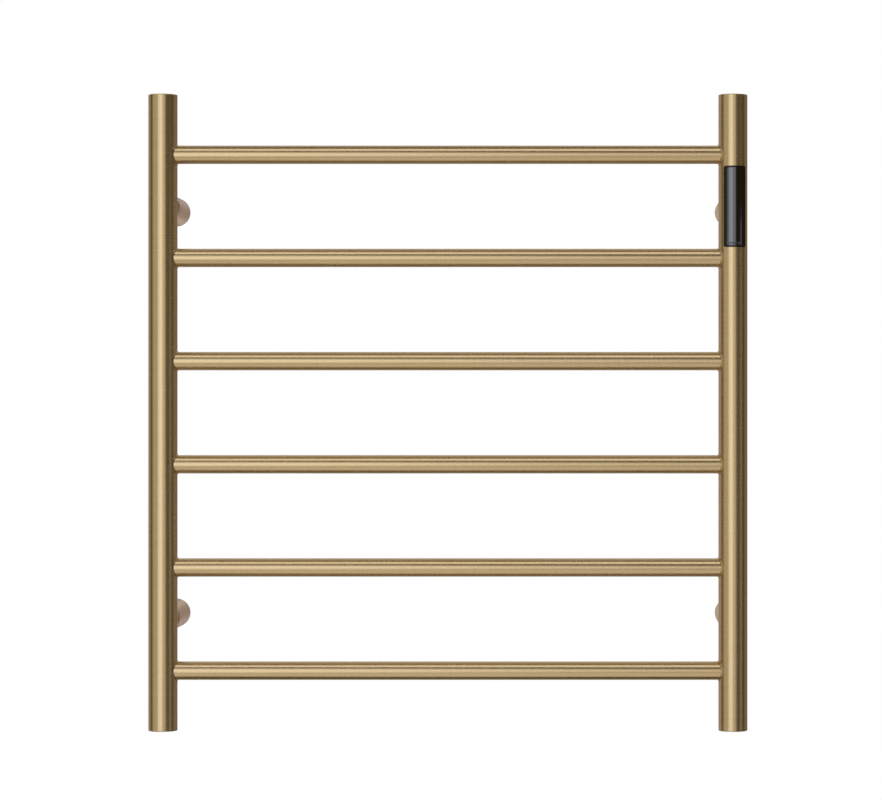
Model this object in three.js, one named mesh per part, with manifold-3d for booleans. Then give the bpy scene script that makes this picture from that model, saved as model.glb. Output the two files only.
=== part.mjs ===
// A wall-hung electric towel rail: two round posts joined by six round bars, four telescopic wall
// brackets, a touch control let into the right post, and a heating cable that runs through every bar.
//
// Millimetres. +X is to the right of someone facing the rail, +Y runs towards the wall and +Z is up.
// The origin is on the wall, at the centre of the four brackets.

import * as THREE from "three";
import { mergeVertices } from "three/addons/utils/BufferGeometryUtils.js";
import Module from "manifold-3d";

const wasm = await Module();
wasm.setup();

// ---------------------------------------------------------------- driving dimensions

const RAIL = { width: 620, height: 658, depth: 120 };
const POST = { radius: 15, wall: 1.2, sides: 24 };
const BAR = { count: 6, radius: 9.5, wall: 1, inset: 62, sides: 24, doorway: 7 };
const CAP = { thickness: 3, edge: 0.8, spigotLength: 8, spigotWall: 2, edgeSteps: 2 };

const SLEEVE = { radius: 15, bore: 10.9, chamfer: 1, neck: 4, bossRadius: 8, bulkhead: 8, sides: 20 };
const BASE = { thickness: 6, edge: 0.6, spigotRadius: 10.5, spigotLength: 40, spigotWall: 3, floor: 5 };
const WALL_SCREW = { hole: 2.75, countersink: 5.2 };
const M6 = { radius: 3, headRadius: 5, headHeight: 6, socket: 2.9, socketDepth: 3 };
const NUT = { flats: 10, height: 6 };
const GRUB = { radius: 2.5, length: 3.7, socket: 1.45, socketDepth: 2, fromWall: 18 };

const CONTROL = { drop: 0.8, turn: THREE.MathUtils.degToRad(8) };
const WINDOW = { width: 22.8, height: 84, corner: 2 };
const LENS = { thickness: 2 };
const GASKET = { thickness: 0.8, frame: 2.7 };
const CARRIER = { length: 87.4, pocketWidth: 17, pocketLength: 77, back: 2.3, tabLength: 6.2, tabBack: 6 };
const BOARD = { width: 20, length: 86.8, thickness: 1.6, front: -2, screwInset: 2.2, screwX: -7 };

const HEATER_RADIUS = 2.25;
const HEATER_BEND = 8;
const RETURN_LEAD_RADIUS = 1.4;
const SUPPLY_LEAD_RADIUS = 2.6;
const EARTH_LEAD_RADIUS = 0.9;
const GLAND = { z: -285, holeRadius: 5.5, flangeRadius: 7.5, flangeEnd: 17.5, insideEnd: 9.5 };
const EARTH = { z: -312, screwRadius: 2, headRadius: 3.6, headHeight: 2.2, lugRadius: 4, lugThickness: 0.8 };

const GAP = 0.3; // clearance left between pieces that touch
const SMALL_SIDES = 12; // screws, holes and small round pieces
const REACH = 40; // how far a cutting tool runs past what it cuts

// ---------------------------------------------------------------- places worked out from them

const POST_X = RAIL.width / 2 - POST.radius;
const POST_Y = POST.radius - RAIL.depth;
const POST_BORE = POST.radius - POST.wall;
const POST_END = RAIL.height / 2;
const BAR_PITCH = (RAIL.height - 2 * BAR.inset) / (BAR.count - 1);
const BAR_HEIGHTS = Array.from({ length: BAR.count }, (_, i) => POST_END - BAR.inset - i * BAR_PITCH);
const BRACKET_Z = (BAR_HEIGHTS[0] + BAR_HEIGHTS[1]) / 2;
const SLEEVE_FRONT = POST_Y + POST.radius + SLEEVE.neck;
const CONTROL_Z = BRACKET_Z - CONTROL.drop;
const NUT_SEAT = Math.sqrt(POST_BORE ** 2 - (NUT.flats / 2) ** 2) - 2 * GAP;

// ---------------------------------------------------------------- materials

const metal = (color, roughness) => new THREE.MeshStandardMaterial({ color, roughness, metalness: 1 });
const plastic = (color, roughness) => new THREE.MeshStandardMaterial({ color, roughness, metalness: 0 });

const BRUSHED_BRASS = metal(0xc9ae7c, 0.32);
const PLAIN_STEEL = metal(0xb9bbbd, 0.35);
const BLACK_OXIDE_STEEL = metal(0x2b2b2d, 0.45);
const TINNED_COPPER = metal(0xc7c3b8, 0.3);
const BLACK_GLASS = plastic(0x0c0c0e, 0.06);
const BLACK_PLASTIC = plastic(0x17171a, 0.55);
const BLACK_RUBBER = plastic(0x1a1a1b, 0.85);
const GREEN_BOARD = plastic(0x1d5b38, 0.5);
const WHITE_PLASTIC = plastic(0xe4e2dc, 0.5);
const BLUE_PLASTIC = plastic(0x2a62b0, 0.5);
const RED_SILICONE = plastic(0x9a2f22, 0.75);
const GREY_SHEATH = plastic(0x6f7275, 0.7);
const EARTH_SHEATH = plastic(0x5f9a2c, 0.65);

// ---------------------------------------------------------------- geometry tools

// Turns a geometry that was made along +Y so that it runs along the named axis.
function along(axis, geometry) {
  if (axis === "x") geometry.rotateZ(-Math.PI / 2);
  if (axis === "z") geometry.rotateX(Math.PI / 2);
  return geometry;
}

// A round rod on an axis, from one distance along it to another.
function rod(axis, radius, start, end, sides = SMALL_SIDES) {
  const geometry = new THREE.CylinderGeometry(radius, radius, Math.abs(end - start), sides);
  return along(axis, geometry.translate(0, (start + end) / 2, 0));
}

// A solid of revolution about an axis. The profile lists [radius, distance along the axis].
function turned(axis, profile, sides) {
  const points = profile.map(([radius, distance]) => new THREE.Vector2(radius, distance));
  return along(axis, new THREE.LatheGeometry(points, sides));
}

// A ring of revolution, whose profile closes on itself.
const turnedRing = (axis, profile, sides) => turned(axis, [...profile, profile[0]], sides);

// A box between two limits on each axis.
function block([x0, x1], [y0, y1], [z0, z1]) {
  const geometry = new THREE.BoxGeometry(x1 - x0, y1 - y0, z1 - z0);
  return geometry.translate((x0 + x1) / 2, (y0 + y1) / 2, (z0 + z1) / 2);
}

// A rounded rectangle in X and Z, centred on the Y axis and extruded from y0 to y1.
function roundedPrism(width, height, corner, y0, y1) {
  const x = width / 2 - corner;
  const z = height / 2 - corner;
  const outline = new THREE.Shape();
  outline.absarc(x, z, corner, 0, Math.PI / 2);
  outline.absarc(-x, z, corner, Math.PI / 2, Math.PI);
  outline.absarc(-x, -z, corner, Math.PI, 1.5 * Math.PI);
  outline.absarc(x, -z, corner, 1.5 * Math.PI, 2 * Math.PI);
  const options = { depth: y1 - y0, bevelEnabled: false, curveSegments: 3 };
  const geometry = new THREE.ExtrudeGeometry(outline, options);
  return geometry.rotateX(Math.PI / 2).translate(0, y1, 0);
}

// A closed geometry as a manifold-3d solid.
function solidOf(geometry) {
  const bare = new THREE.BufferGeometry();
  bare.setAttribute("position", geometry.getAttribute("position"));
  bare.setIndex(geometry.index);
  const merged = mergeVertices(bare, 1e-3);
  const vertProperties = merged.attributes.position.array;
  const triVerts = new Uint32Array(merged.index.array);
  return new wasm.Manifold(new wasm.Mesh({ numProp: 3, vertProperties, triVerts }));
}

// A manifold-3d solid as a geometry.
function geometryOf(solid) {
  const { vertProperties, triVerts } = solid.getMesh();
  const geometry = new THREE.BufferGeometry();
  geometry.setAttribute("position", new THREE.BufferAttribute(vertProperties, 3));
  geometry.setIndex(new THREE.BufferAttribute(triVerts, 1));
  geometry.computeVertexNormals();
  return geometry;
}

const combine = (operation, first, others) =>
  geometryOf(others.reduce((made, other) => made[operation](solidOf(other)), solidOf(first)));
const cut = (body, ...tools) => combine("subtract", body, tools);
const join = (body, ...others) => combine("add", body, others);
const common = (body, ...others) => combine("intersect", body, others);

// The space that a post takes up, with the clearance that its neighbours keep to it.
const postSpace = () => rod("z", POST.radius + GAP, -REACH, REACH, 2 * POST.sides);

// A lead's route: straight runs with a round bend at each corner, and stations only where it turns.
class LeadRoute extends THREE.Curve {
  constructor(corners, bend, bendSteps = 4) {
    super();
    const points = corners.map((corner) => new THREE.Vector3(...corner));
    const heading = (i) => points[i + 1].clone().sub(points[i]).normalize();
    this.stations = [{ point: points[0], tangent: heading(0) }];
    for (let i = 1; i < points.length - 1; i++) {
      this.addBend(points[i], heading(i - 1), heading(i), bend, bendSteps);
    }
    this.stations.push({ point: points.at(-1), tangent: heading(points.length - 2) });
  }

  addBend(corner, before, after, bend, steps) {
    const angle = before.angleTo(after);
    const inwards = after.clone().sub(before).normalize();
    const centre = corner.clone().addScaledVector(inwards, bend / Math.cos(angle / 2));
    const axis = before.clone().cross(after).normalize();
    const start = corner.clone().addScaledVector(before, -bend * Math.tan(angle / 2)).sub(centre);
    for (let step = 0; step <= steps; step++) {
      const turn = (angle * step) / steps;
      const point = start.clone().applyAxisAngle(axis, turn).add(centre);
      this.stations.push({ point, tangent: before.clone().applyAxisAngle(axis, turn) });
    }
  }

  stationAt(u) {
    return this.stations[Math.round(u * (this.stations.length - 1))];
  }

  getPointAt(u) {
    return this.stationAt(u).point.clone();
  }

  getTangentAt(u) {
    return this.stationAt(u).tangent.clone();
  }
}

// A round lead along a route of corners.
function lead(corners, radius, bend) {
  const route = new LeadRoute(corners, bend);
  const section = new THREE.Shape().absarc(0, 0, radius, 0, 2 * Math.PI);
  const options = { steps: route.stations.length - 1, extrudePath: route, curveSegments: 3 };
  return new THREE.ExtrudeGeometry(section, options);
}

// Adds a named mesh to a group.
function add(group, name, geometry, material) {
  const mesh = new THREE.Mesh(geometry, material);
  mesh.name = name;
  group.add(mesh);
  return mesh;
}

function groupAt(parent, x, y, z) {
  const group = new THREE.Group();
  group.position.set(x, y, z);
  parent.add(group);
  return group;
}

// ---------------------------------------------------------------- the rail: posts, bars and caps

// An open tube with a doorway behind each bar for the cable, and a hole for each bracket's screw.
// side is -1 for the left post and 1 for the right one.
function postTube(side) {
  const end = POST_END - CAP.thickness - GAP;
  const tube = rod("z", POST.radius, -end, end, POST.sides);
  const bore = rod("z", POST_BORE, -POST_END, POST_END, POST.sides);
  const doorways = BAR_HEIGHTS.map((z) => rod("x", BAR.doorway, 0, -side * REACH).translate(0, 0, z));
  const screwHoles = [BRACKET_Z, -BRACKET_Z].map((z) =>
    rod("y", M6.radius + 2 * GAP, 0, REACH).translate(0, 0, z),
  );
  return cut(tube, bore, ...doorways, ...screwHoles);
}

// The right post also has the control's window, the cable's way out and the earth screw's hole.
function controlPostTube() {
  const window = roundedPrism(WINDOW.width, WINDOW.height, WINDOW.corner, -REACH, -CARRIER.back);
  window.rotateZ(CONTROL.turn);
  const gland = rod("y", GLAND.holeRadius, 0, REACH).translate(0, 0, GLAND.z);
  const earth = rod("y", EARTH.screwRadius + GAP, 0, REACH).translate(0, 0, EARTH.z);
  return cut(postTube(1), window.translate(0, 0, CONTROL_Z), gland, earth);
}

// A thin tube whose ends are coped to sit against the posts.
function barTube() {
  const tube = rod("x", BAR.radius, -POST_X, POST_X, BAR.sides);
  const bore = rod("x", BAR.radius - BAR.wall, -POST_X - 1, POST_X + 1, BAR.sides);
  const posts = [-1, 1].map((side) => postSpace().translate(side * POST_X, 0, 0));
  return cut(tube, bore, ...posts);
}

// A cap with an eased edge and a hollow spigot. Its outer face is at z = 0, facing up.
function postCap() {
  const spigot = POST_BORE - GAP;
  const spigotEnd = -CAP.thickness - CAP.spigotLength;
  const easedEdge = Array.from({ length: CAP.edgeSteps + 1 }, (_, step) => {
    const angle = (Math.PI / 2) * (step / CAP.edgeSteps);
    const inset = CAP.edge * (1 - Math.cos(angle));
    const rise = CAP.edge * (1 - Math.sin(angle));
    return [POST.radius - inset, -rise];
  });
  const profile = [
    [0, -CAP.thickness - 1],
    [spigot - CAP.spigotWall, -CAP.thickness - 1],
    [spigot - CAP.spigotWall, spigotEnd],
    [spigot, spigotEnd],
    [spigot, -CAP.thickness],
    [POST.radius, -CAP.thickness],
    ...easedEdge,
    [0, 0],
  ];
  return turned("z", profile, POST.sides);
}

function buildRail(root) {
  const bar = barTube();
  BAR_HEIGHTS.forEach((z, i) => add(groupAt(root, 0, POST_Y, z), "bar_" + (i + 1), bar, BRUSHED_BRASS));

  const left = groupAt(root, -POST_X, POST_Y, 0);
  const right = groupAt(root, POST_X, POST_Y, 0);
  add(left, "left_post", postTube(-1), BRUSHED_BRASS);
  add(right, "right_post", controlPostTube(), BRUSHED_BRASS);

  const cap = postCap();
  for (const [post, side] of [[left, "left"], [right, "right"]]) {
    add(post, `cap_${side}_top`, cap, BRUSHED_BRASS).position.z = POST_END;
    const bottom = add(post, `cap_${side}_bottom`, cap, BRUSHED_BRASS);
    bottom.position.z = -POST_END;
    bottom.rotation.x = Math.PI;
  }
}

// ---------------------------------------------------------------- the four wall brackets
// In a bracket's own frame the wall is y = 0 and the post's axis is at y = POST_Y.

// Bored from behind for the wall base's spigot, with a bulkhead and a boss that meets the post.
function sleeve() {
  const rear = -BASE.thickness - GAP;
  const body = turnedRing(
    "y",
    [
      [M6.radius + GAP, POST_Y],
      [SLEEVE.bossRadius, POST_Y],
      [SLEEVE.bossRadius, SLEEVE_FRONT],
      [SLEEVE.radius - SLEEVE.chamfer, SLEEVE_FRONT],
      [SLEEVE.radius, SLEEVE_FRONT + SLEEVE.chamfer],
      [SLEEVE.radius, rear],
      [SLEEVE.bore, rear],
      [SLEEVE.bore, SLEEVE_FRONT + SLEEVE.bulkhead],
      [M6.radius + GAP, SLEEVE_FRONT + SLEEVE.bulkhead],
    ],
    SLEEVE.sides,
  );
  const grubHole = rod("z", GRUB.radius + GAP, 0, -REACH).translate(0, -GRUB.fromWall, 0);
  return cut(body, postSpace().translate(0, POST_Y, 0), grubHole);
}

// A disc that screws to the wall, with a hollow spigot that slides in the sleeve.
function wallBase() {
  const spigotBore = BASE.spigotRadius - BASE.spigotWall;
  const spigotEnd = -BASE.thickness - BASE.spigotLength;
  return turnedRing(
    "y",
    [
      [WALL_SCREW.hole, -BASE.floor / 2],
      [WALL_SCREW.countersink, -BASE.floor],
      [spigotBore, -BASE.floor],
      [spigotBore, spigotEnd],
      [BASE.spigotRadius - BASE.edge, spigotEnd],
      [BASE.spigotRadius, spigotEnd + BASE.edge],
      [BASE.spigotRadius, -BASE.thickness],
      [SLEEVE.radius - BASE.edge, -BASE.thickness],
      [SLEEVE.radius, -BASE.thickness + BASE.edge],
      [SLEEVE.radius, -BASE.edge],
      [SLEEVE.radius - BASE.edge, 0],
      [WALL_SCREW.hole, 0],
    ],
    SLEEVE.sides,
  );
}

// A socket-head screw from the sleeve's bulkhead into the nut inside the post.
function bracketScrew() {
  const seat = SLEEVE_FRONT + SLEEVE.bulkhead + GAP;
  const tip = POST_Y + NUT_SEAT - NUT.height - 2 * GAP;
  const top = seat + M6.headHeight;
  const chamfer = 0.5;
  const blank = turned(
    "y",
    [
      [0, tip],
      [M6.radius - chamfer, tip],
      [M6.radius, tip + chamfer],
      [M6.radius, seat],
      [M6.headRadius, seat],
      [M6.headRadius, top - chamfer],
      [M6.headRadius - chamfer, top],
      [0, top],
    ],
    SMALL_SIDES,
  );
  return cut(blank, rod("y", M6.socket, top - M6.socketDepth, top + 1, 6));
}

// A hexagon nut held against the inside of the post.
function postNut() {
  const outer = POST_Y + NUT_SEAT;
  const hexagon = rod("y", NUT.flats / Math.sqrt(3), outer - NUT.height, outer, 6);
  return cut(hexagon, rod("y", M6.radius + GAP, outer - REACH, outer + REACH));
}

// A socket set screw in the underside of the sleeve, which locks the spigot.
function grubScrew() {
  const top = -BASE.spigotRadius - GAP;
  const bottom = top - GRUB.length;
  const blank = rod("z", GRUB.radius, bottom, top);
  return cut(blank, rod("z", GRUB.socket, bottom - 1, bottom + GRUB.socketDepth, 6));
}

function buildBrackets(root) {
  const pieces = [
    ["sleeve", sleeve(), BRUSHED_BRASS],
    ["wall_base", wallBase(), BRUSHED_BRASS],
    ["bracket_screw", bracketScrew(), BLACK_OXIDE_STEEL],
    ["post_nut", postNut(), PLAIN_STEEL],
    ["grub_screw", grubScrew().translate(0, -GRUB.fromWall, 0), BLACK_OXIDE_STEEL],
  ];
  for (const [level, z] of [["upper", BRACKET_Z], ["lower", -BRACKET_Z]]) {
    for (const [side, x] of [["left", -POST_X], ["right", POST_X]]) {
      const bracket = groupAt(root, x, 0, z);
      for (const [name, shape, material] of pieces) {
        add(bracket, `${name}_${level}_${side}`, shape, material);
      }
    }
  }
}

// ---------------------------------------------------------------- the touch control
// In the control's own frame the post's axis is the Z axis, and the window's centre is at z = 0. The
// whole control is turned a little away from the bars.

// A curved black window, flush with the outside of the post.
function controlLens() {
  const half = WINDOW.height;
  const shell = rod("z", POST.radius, -half, half, POST.sides);
  const inside = rod("z", POST.radius - LENS.thickness, -half - 1, half + 1, POST.sides);
  const width = WINDOW.width - 2 * GAP;
  const height = WINDOW.height - 2 * GAP;
  const outline = roundedPrism(width, height, WINDOW.corner - GAP, -REACH, -CARRIER.back);
  return common(cut(shell, inside), outline);
}

// A thin frame of foam between the lens and the carrier.
function lensGasket() {
  const outside = POST.radius - LENS.thickness - GAP;
  const shell = rod("z", outside, -WINDOW.height, WINDOW.height, POST.sides);
  const inside = rod("z", outside - GASKET.thickness, -WINDOW.height - 1, WINDOW.height + 1, POST.sides);
  const width = WINDOW.width - 4 * GAP;
  const height = WINDOW.height - 4 * GAP;
  const corner = WINDOW.corner - GAP;
  const outline = roundedPrism(width, height, corner, -REACH, -CARRIER.back);
  const opening = roundedPrism(width - 2 * GASKET.frame, height - 2 * GASKET.frame, corner, -REACH, 0);
  return cut(common(cut(shell, inside), outline), opening);
}

const BOARD_SCREW_Z = BOARD.length / 2 - BOARD.screwInset;
const BOARD_BACK = BOARD.front + BOARD.thickness;

function boardScrewHoles(start) {
  return [1, -1].map((up) => rod("y", 1.3, start, REACH).translate(BOARD.screwX, 0, up * BOARD_SCREW_Z));
}

// A half-round tray behind the lens. Its tabs hook behind the post above and below the window.
function controlCarrier() {
  const radius = POST.radius - LENS.thickness - 2 * GAP - GASKET.thickness;
  const half = CARRIER.length / 2;
  const all = [-REACH, REACH];
  const [pocketX, pocketZ] = [CARRIER.pocketWidth / 2, CARRIER.pocketLength / 2];
  const tray = cut(
    rod("z", radius, -half, half, POST.sides),
    block(all, [-CARRIER.back, REACH], [-half - 1, half + 1]),
    block([-pocketX, pocketX], all, [-pocketZ, pocketZ]),
  );
  const tabStart = WINDOW.height / 2 + 2 * GAP;
  const tabEnd = tabStart + CARRIER.tabLength;
  const tabs = [1, -1].map((up) =>
    cut(
      rod("z", POST_BORE - 2 * GAP, up * tabStart, up * tabEnd, POST.sides),
      block(all, [-CARRIER.tabBack, REACH], [-2 * REACH, 2 * REACH]),
    ),
  );
  return cut(join(tray, ...tabs), ...boardScrewHoles(-CARRIER.back - 7));
}

function controlBoard() {
  const [x, z] = [BOARD.width / 2, BOARD.length / 2];
  return cut(block([-x, x], [BOARD.front, BOARD_BACK], [-z, z]), ...boardScrewHoles(-REACH));
}

// A pan-head screw that holds the board to the carrier.
function boardScrew() {
  const seat = BOARD_BACK + GAP;
  const profile = [
    [0, seat - 8],
    [1, seat - 7],
    [1, seat],
    [1.9, seat],
    [1.9, seat + 0.8],
    [1.2, seat + 1.3],
    [0, seat + 1.3],
  ];
  return turned("y", profile, 12);
}

// Boxes on the board: x, y and z limits of each, in the control's frame.
const onFront = (depth) => [BOARD.front - GAP - depth, BOARD.front - GAP];
const onBack = (depth) => [BOARD_BACK + GAP, BOARD_BACK + GAP + depth];
const BOARD_PARTS = [
  ["led_display", [-6, 6], onFront(5.6), [2, 26], WHITE_PLASTIC],
  ["relay", [-6, 6], onBack(7), [-25.5, -10.5], BLUE_PLASTIC],
  ["heater_terminal", [-7, 7], onBack(7), [28.5, 36.5], WHITE_PLASTIC],
  ["supply_terminal", [-9, 9], onBack(7.6), [-38.5, -28.5], WHITE_PLASTIC],
];
const TOUCH_SPRINGS = { heights: [-9, -20, -31], radius: 2.6, top: -12.3 };
const SENSOR = { x: 8, y: 3.2, z0: 2, z1: 9, radius: 1.5 };

function buildControl(root) {
  const control = groupAt(root, POST_X, POST_Y, CONTROL_Z);
  control.rotation.z = CONTROL.turn;
  add(control, "control_lens", controlLens(), BLACK_GLASS);
  add(control, "lens_gasket", lensGasket(), BLACK_RUBBER);
  add(control, "control_carrier", controlCarrier(), BLACK_PLASTIC);
  add(control, "control_board", controlBoard(), GREEN_BOARD);
  for (const [name, x, y, z, material] of BOARD_PARTS) add(control, name, block(x, y, z), material);

  const spring = rod("y", TOUCH_SPRINGS.radius, TOUCH_SPRINGS.top, BOARD.front - GAP, 12);
  TOUCH_SPRINGS.heights.forEach((z, i) => {
    add(control, "touch_spring_" + (i + 1), spring, TINNED_COPPER).position.z = z;
  });

  const sensor = rod("z", SENSOR.radius, SENSOR.z0, SENSOR.z1, 12);
  add(control, "temperature_sensor", sensor, BLACK_PLASTIC).position.set(SENSOR.x, SENSOR.y, 0);

  const screw = boardScrew().translate(BOARD.screwX, 0, 0);
  add(control, "board_screw_top", screw, PLAIN_STEEL).position.z = BOARD_SCREW_Z;
  add(control, "board_screw_bottom", screw, PLAIN_STEEL).position.z = -BOARD_SCREW_Z;
}

// ---------------------------------------------------------------- the wiring
// In the right post's own frame, x and y are measured from the post's axis.

const TERMINAL_BOTTOM = CONTROL_Z - 38.5 - GAP;
const TERMINAL_TOP = CONTROL_Z + 36.5 + GAP;
const LAST_BAR_Z = BAR_HEIGHTS[BAR.count - 1];
const RETURN_LANE = [-6.5, 4.4];
const SUPPLY_LANE = [6.3, 3.5];
const SPLICE = { radius: 3.2, start: -50, length: 18 };
const CUTOUT = { x: [-9, -4], y: [2.7, 7.7], z: [91, 109] };

// The heating cable starts at the control and snakes down through the bars, one after another.
function heatingCable() {
  const terminalY = 3.8;
  const corners = [[POST_X, terminalY, TERMINAL_TOP + GAP]];
  BAR_HEIGHTS.forEach((z, i) => {
    const from = i % 2 === 0 ? POST_X : -POST_X;
    corners.push([from, 0, z], [-from, 0, z]);
  });
  corners[corners.length - 1] = [POST_X + SPLICE.start, 0, LAST_BAR_Z];
  return lead(corners, HEATER_RADIUS, HEATER_BEND);
}

function returnLead() {
  const [x, y] = RETURN_LANE;
  const start = SPLICE.start + SPLICE.length + 2 * GAP;
  const corners = [[start, 0, LAST_BAR_Z], [x, y, LAST_BAR_Z], [x, y, CUTOUT.z[0] - GAP]];
  return lead(corners, RETURN_LEAD_RADIUS, 6);
}

// The short lead between the thermal cutout and the control.
function cutoutLead() {
  const [x, y] = RETURN_LANE;
  return rod("z", RETURN_LEAD_RADIUS, CUTOUT.z[1] + GAP, TERMINAL_BOTTOM, 8).translate(x, y, 0);
}

// The mains lead inside the post, from the mouth of the grommet to the control.
function supplyLead() {
  const [x, y] = SUPPLY_LANE;
  const corners = [
    [0, GLAND.flangeEnd, GLAND.z],
    [0, 5, GLAND.z],
    [x, y, GLAND.z + 14],
    [x, y, TERMINAL_BOTTOM],
  ];
  return lead(corners, SUPPLY_LEAD_RADIUS, 5);
}

// A rubber grommet that grips the edge of its hole, with a flange outside and one inside.
function cableGrommet() {
  const { z, holeRadius, flangeRadius, flangeEnd, insideEnd } = GLAND;
  const outerFlange = cut(rod("y", flangeRadius, 0, flangeEnd), postSpace());
  const neck = rod("y", holeRadius - GAP, insideEnd, flangeEnd - 1);
  const inPost = rod("z", POST_BORE - GAP, -REACH, REACH, POST.sides);
  const innerFlange = common(rod("y", flangeRadius - GAP, insideEnd, REACH), inPost);
  const bore = rod("y", SUPPLY_LEAD_RADIUS + GAP, 0, REACH);
  return cut(join(neck, outerFlange, innerFlange), bore).translate(0, 0, z);
}

// A cross-head screw through the back of the post, for the earth.
function earthScrew() {
  const seat = POST.radius + GAP;
  const top = seat + EARTH.headHeight;
  const profile = [
    [0, 7],
    [EARTH.screwRadius, 7],
    [EARTH.screwRadius, seat],
    [EARTH.headRadius, seat],
    [EARTH.headRadius, seat + 1],
    [EARTH.headRadius - 1.2, top],
    [0, top],
  ];
  const slot = [-0.45, 0.45];
  const span = [-1.8, 1.8];
  const depth = [top - 1.2, top + 1];
  return cut(turned("y", profile, SMALL_SIDES), block(slot, depth, span), block(span, depth, slot));
}

const EARTH_LUG_Y = [11.9, 11.9 + EARTH.lugThickness];

// A ring terminal with a crimp barrel that points up.
function earthLug() {
  const [front, back] = EARTH_LUG_Y;
  const ring = rod("y", EARTH.lugRadius, front, back);
  const tongue = block([-1.4, 1.4], EARTH_LUG_Y, [3, 6.5]);
  const barrel = rod("z", 1.9, 5, 12, 12).translate(0, back - 1.9, 0);
  const wireHole = rod("z", EARTH_LEAD_RADIUS + GAP, 7.5, 20, 12).translate(0, back - 1.9, 0);
  const screwHole = rod("y", EARTH.screwRadius + GAP, 0, REACH);
  return cut(join(ring, tongue, barrel), wireHole, screwHole);
}

function earthNut() {
  const [front] = EARTH_LUG_Y;
  const hexagon = rod("y", 7 / Math.sqrt(3), front - GAP - 3, front - GAP, 6);
  return cut(hexagon, rod("y", EARTH.screwRadius + GAP, 0, REACH)).rotateY(Math.PI / 6);
}

// The earth core, from the lug to where it leaves the mains lead's sheath.
function earthLead() {
  const lugY = EARTH_LUG_Y[1] - 1.9;
  const sheathY = 6.5;
  const corners = [
    [0, lugY, EARTH.z + 8],
    [0, lugY, EARTH.z + 13.5],
    [0, sheathY, EARTH.z + 18],
    [0, sheathY, GLAND.z - SUPPLY_LEAD_RADIUS - GAP],
  ];
  return lead(corners, EARTH_LEAD_RADIUS, 2);
}

function buildWiring(root) {
  add(groupAt(root, 0, POST_Y, 0), "heating_cable", heatingCable(), RED_SILICONE);

  const post = groupAt(root, POST_X, POST_Y, 0);
  const spliceStart = SPLICE.start + GAP;
  const splice = rod("x", SPLICE.radius, spliceStart, spliceStart + SPLICE.length, 12);
  add(post, "crimp_splice", splice.translate(0, 0, LAST_BAR_Z), TINNED_COPPER);
  add(post, "return_lead", returnLead(), RED_SILICONE);
  add(post, "thermal_cutout", block(CUTOUT.x, CUTOUT.y, CUTOUT.z), WHITE_PLASTIC);
  add(post, "cutout_lead", cutoutLead(), RED_SILICONE);
  add(post, "supply_lead", supplyLead(), GREY_SHEATH);
  add(post, "cable_grommet", cableGrommet(), BLACK_RUBBER);

  const earth = groupAt(post, 0, 0, EARTH.z);
  add(earth, "earth_screw", earthScrew(), PLAIN_STEEL);
  add(earth, "earth_lug", earthLug(), TINNED_COPPER);
  add(earth, "earth_nut", earthNut(), PLAIN_STEEL);
  add(post, "earth_lead", earthLead(), EARTH_SHEATH);
}

// ---------------------------------------------------------------- the whole rail

const towelRail = new THREE.Group();
buildRail(towelRail);
buildBrackets(towelRail);
buildControl(towelRail);
buildWiring(towelRail);

export default towelRail;
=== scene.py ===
"""Electric towel rail: round posts and bars in brushed brass, a black touch panel and four wall brackets."""

import math

import bmesh
import bpy
from mathutils import Matrix, Vector


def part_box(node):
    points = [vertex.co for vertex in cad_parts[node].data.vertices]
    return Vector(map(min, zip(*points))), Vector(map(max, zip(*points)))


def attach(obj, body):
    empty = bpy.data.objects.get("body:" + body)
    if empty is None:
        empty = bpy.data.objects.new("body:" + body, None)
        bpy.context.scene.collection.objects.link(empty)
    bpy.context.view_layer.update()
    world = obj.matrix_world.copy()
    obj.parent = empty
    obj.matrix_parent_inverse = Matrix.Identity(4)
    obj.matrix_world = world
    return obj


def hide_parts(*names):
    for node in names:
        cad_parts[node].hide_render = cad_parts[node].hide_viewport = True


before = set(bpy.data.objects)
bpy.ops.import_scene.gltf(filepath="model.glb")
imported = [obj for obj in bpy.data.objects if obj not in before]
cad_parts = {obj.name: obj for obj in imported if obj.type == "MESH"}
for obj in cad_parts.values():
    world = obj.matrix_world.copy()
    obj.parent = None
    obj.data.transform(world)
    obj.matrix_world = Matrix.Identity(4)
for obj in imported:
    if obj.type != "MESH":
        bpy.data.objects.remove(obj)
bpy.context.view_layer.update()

bl_info = {
    "name": "Electric Towel Rail",
    "version": (1, 0, 0),
    "blender": (4, 5, 0),
    "location": "View3D > Sidebar > Towel Rail",
    "description": "Builds the visual model of a wall-hung electric towel rail around its CAD frame",
    "category": "Add Mesh",
}

# ---------------------------------------------------------------- places, in millimetres

MM = 0.001
SIDES = ("left", "right")
CORNERS = [(level, side) for level in ("upper", "lower") for side in SIDES]
BARS = [f"bar_{i}" for i in range(1, 7)]


def box_mm(node):
    """A CAD node's lowest and highest corner, in millimetres."""
    low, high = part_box(node)
    return low / MM, high / MM


def centre_mm(node):
    low, high = box_mm(node)
    return (low + high) / 2


def half_width_mm(node):
    low, high = box_mm(node)
    return (high.x - low.x) / 2


POST = {side: centre_mm(f"{side}_post") for side in SIDES}
POST_RADIUS = half_width_mm("left_post")
POST_WALL = 1.2
RAIL_TOP = box_mm("cap_left_top")[1].z
CAP_THICKNESS = 3.0
BAR_RADIUS = (box_mm("bar_1")[1].z - box_mm("bar_1")[0].z) / 2
BAR_WALL = 1.0
SLEEVE_REAR = box_mm("sleeve_upper_left")[1].y
GLAND = centre_mm("cable_grommet")
EARTH = centre_mm("earth_screw")
CONTROL_TURN = math.radians(8.0)
# How far in front of a post's axis the cut for the touch panel ends, and a reach that clears any piece.
PANEL_CUT_BACK = 2.3
CLEAR = 30.0


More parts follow.
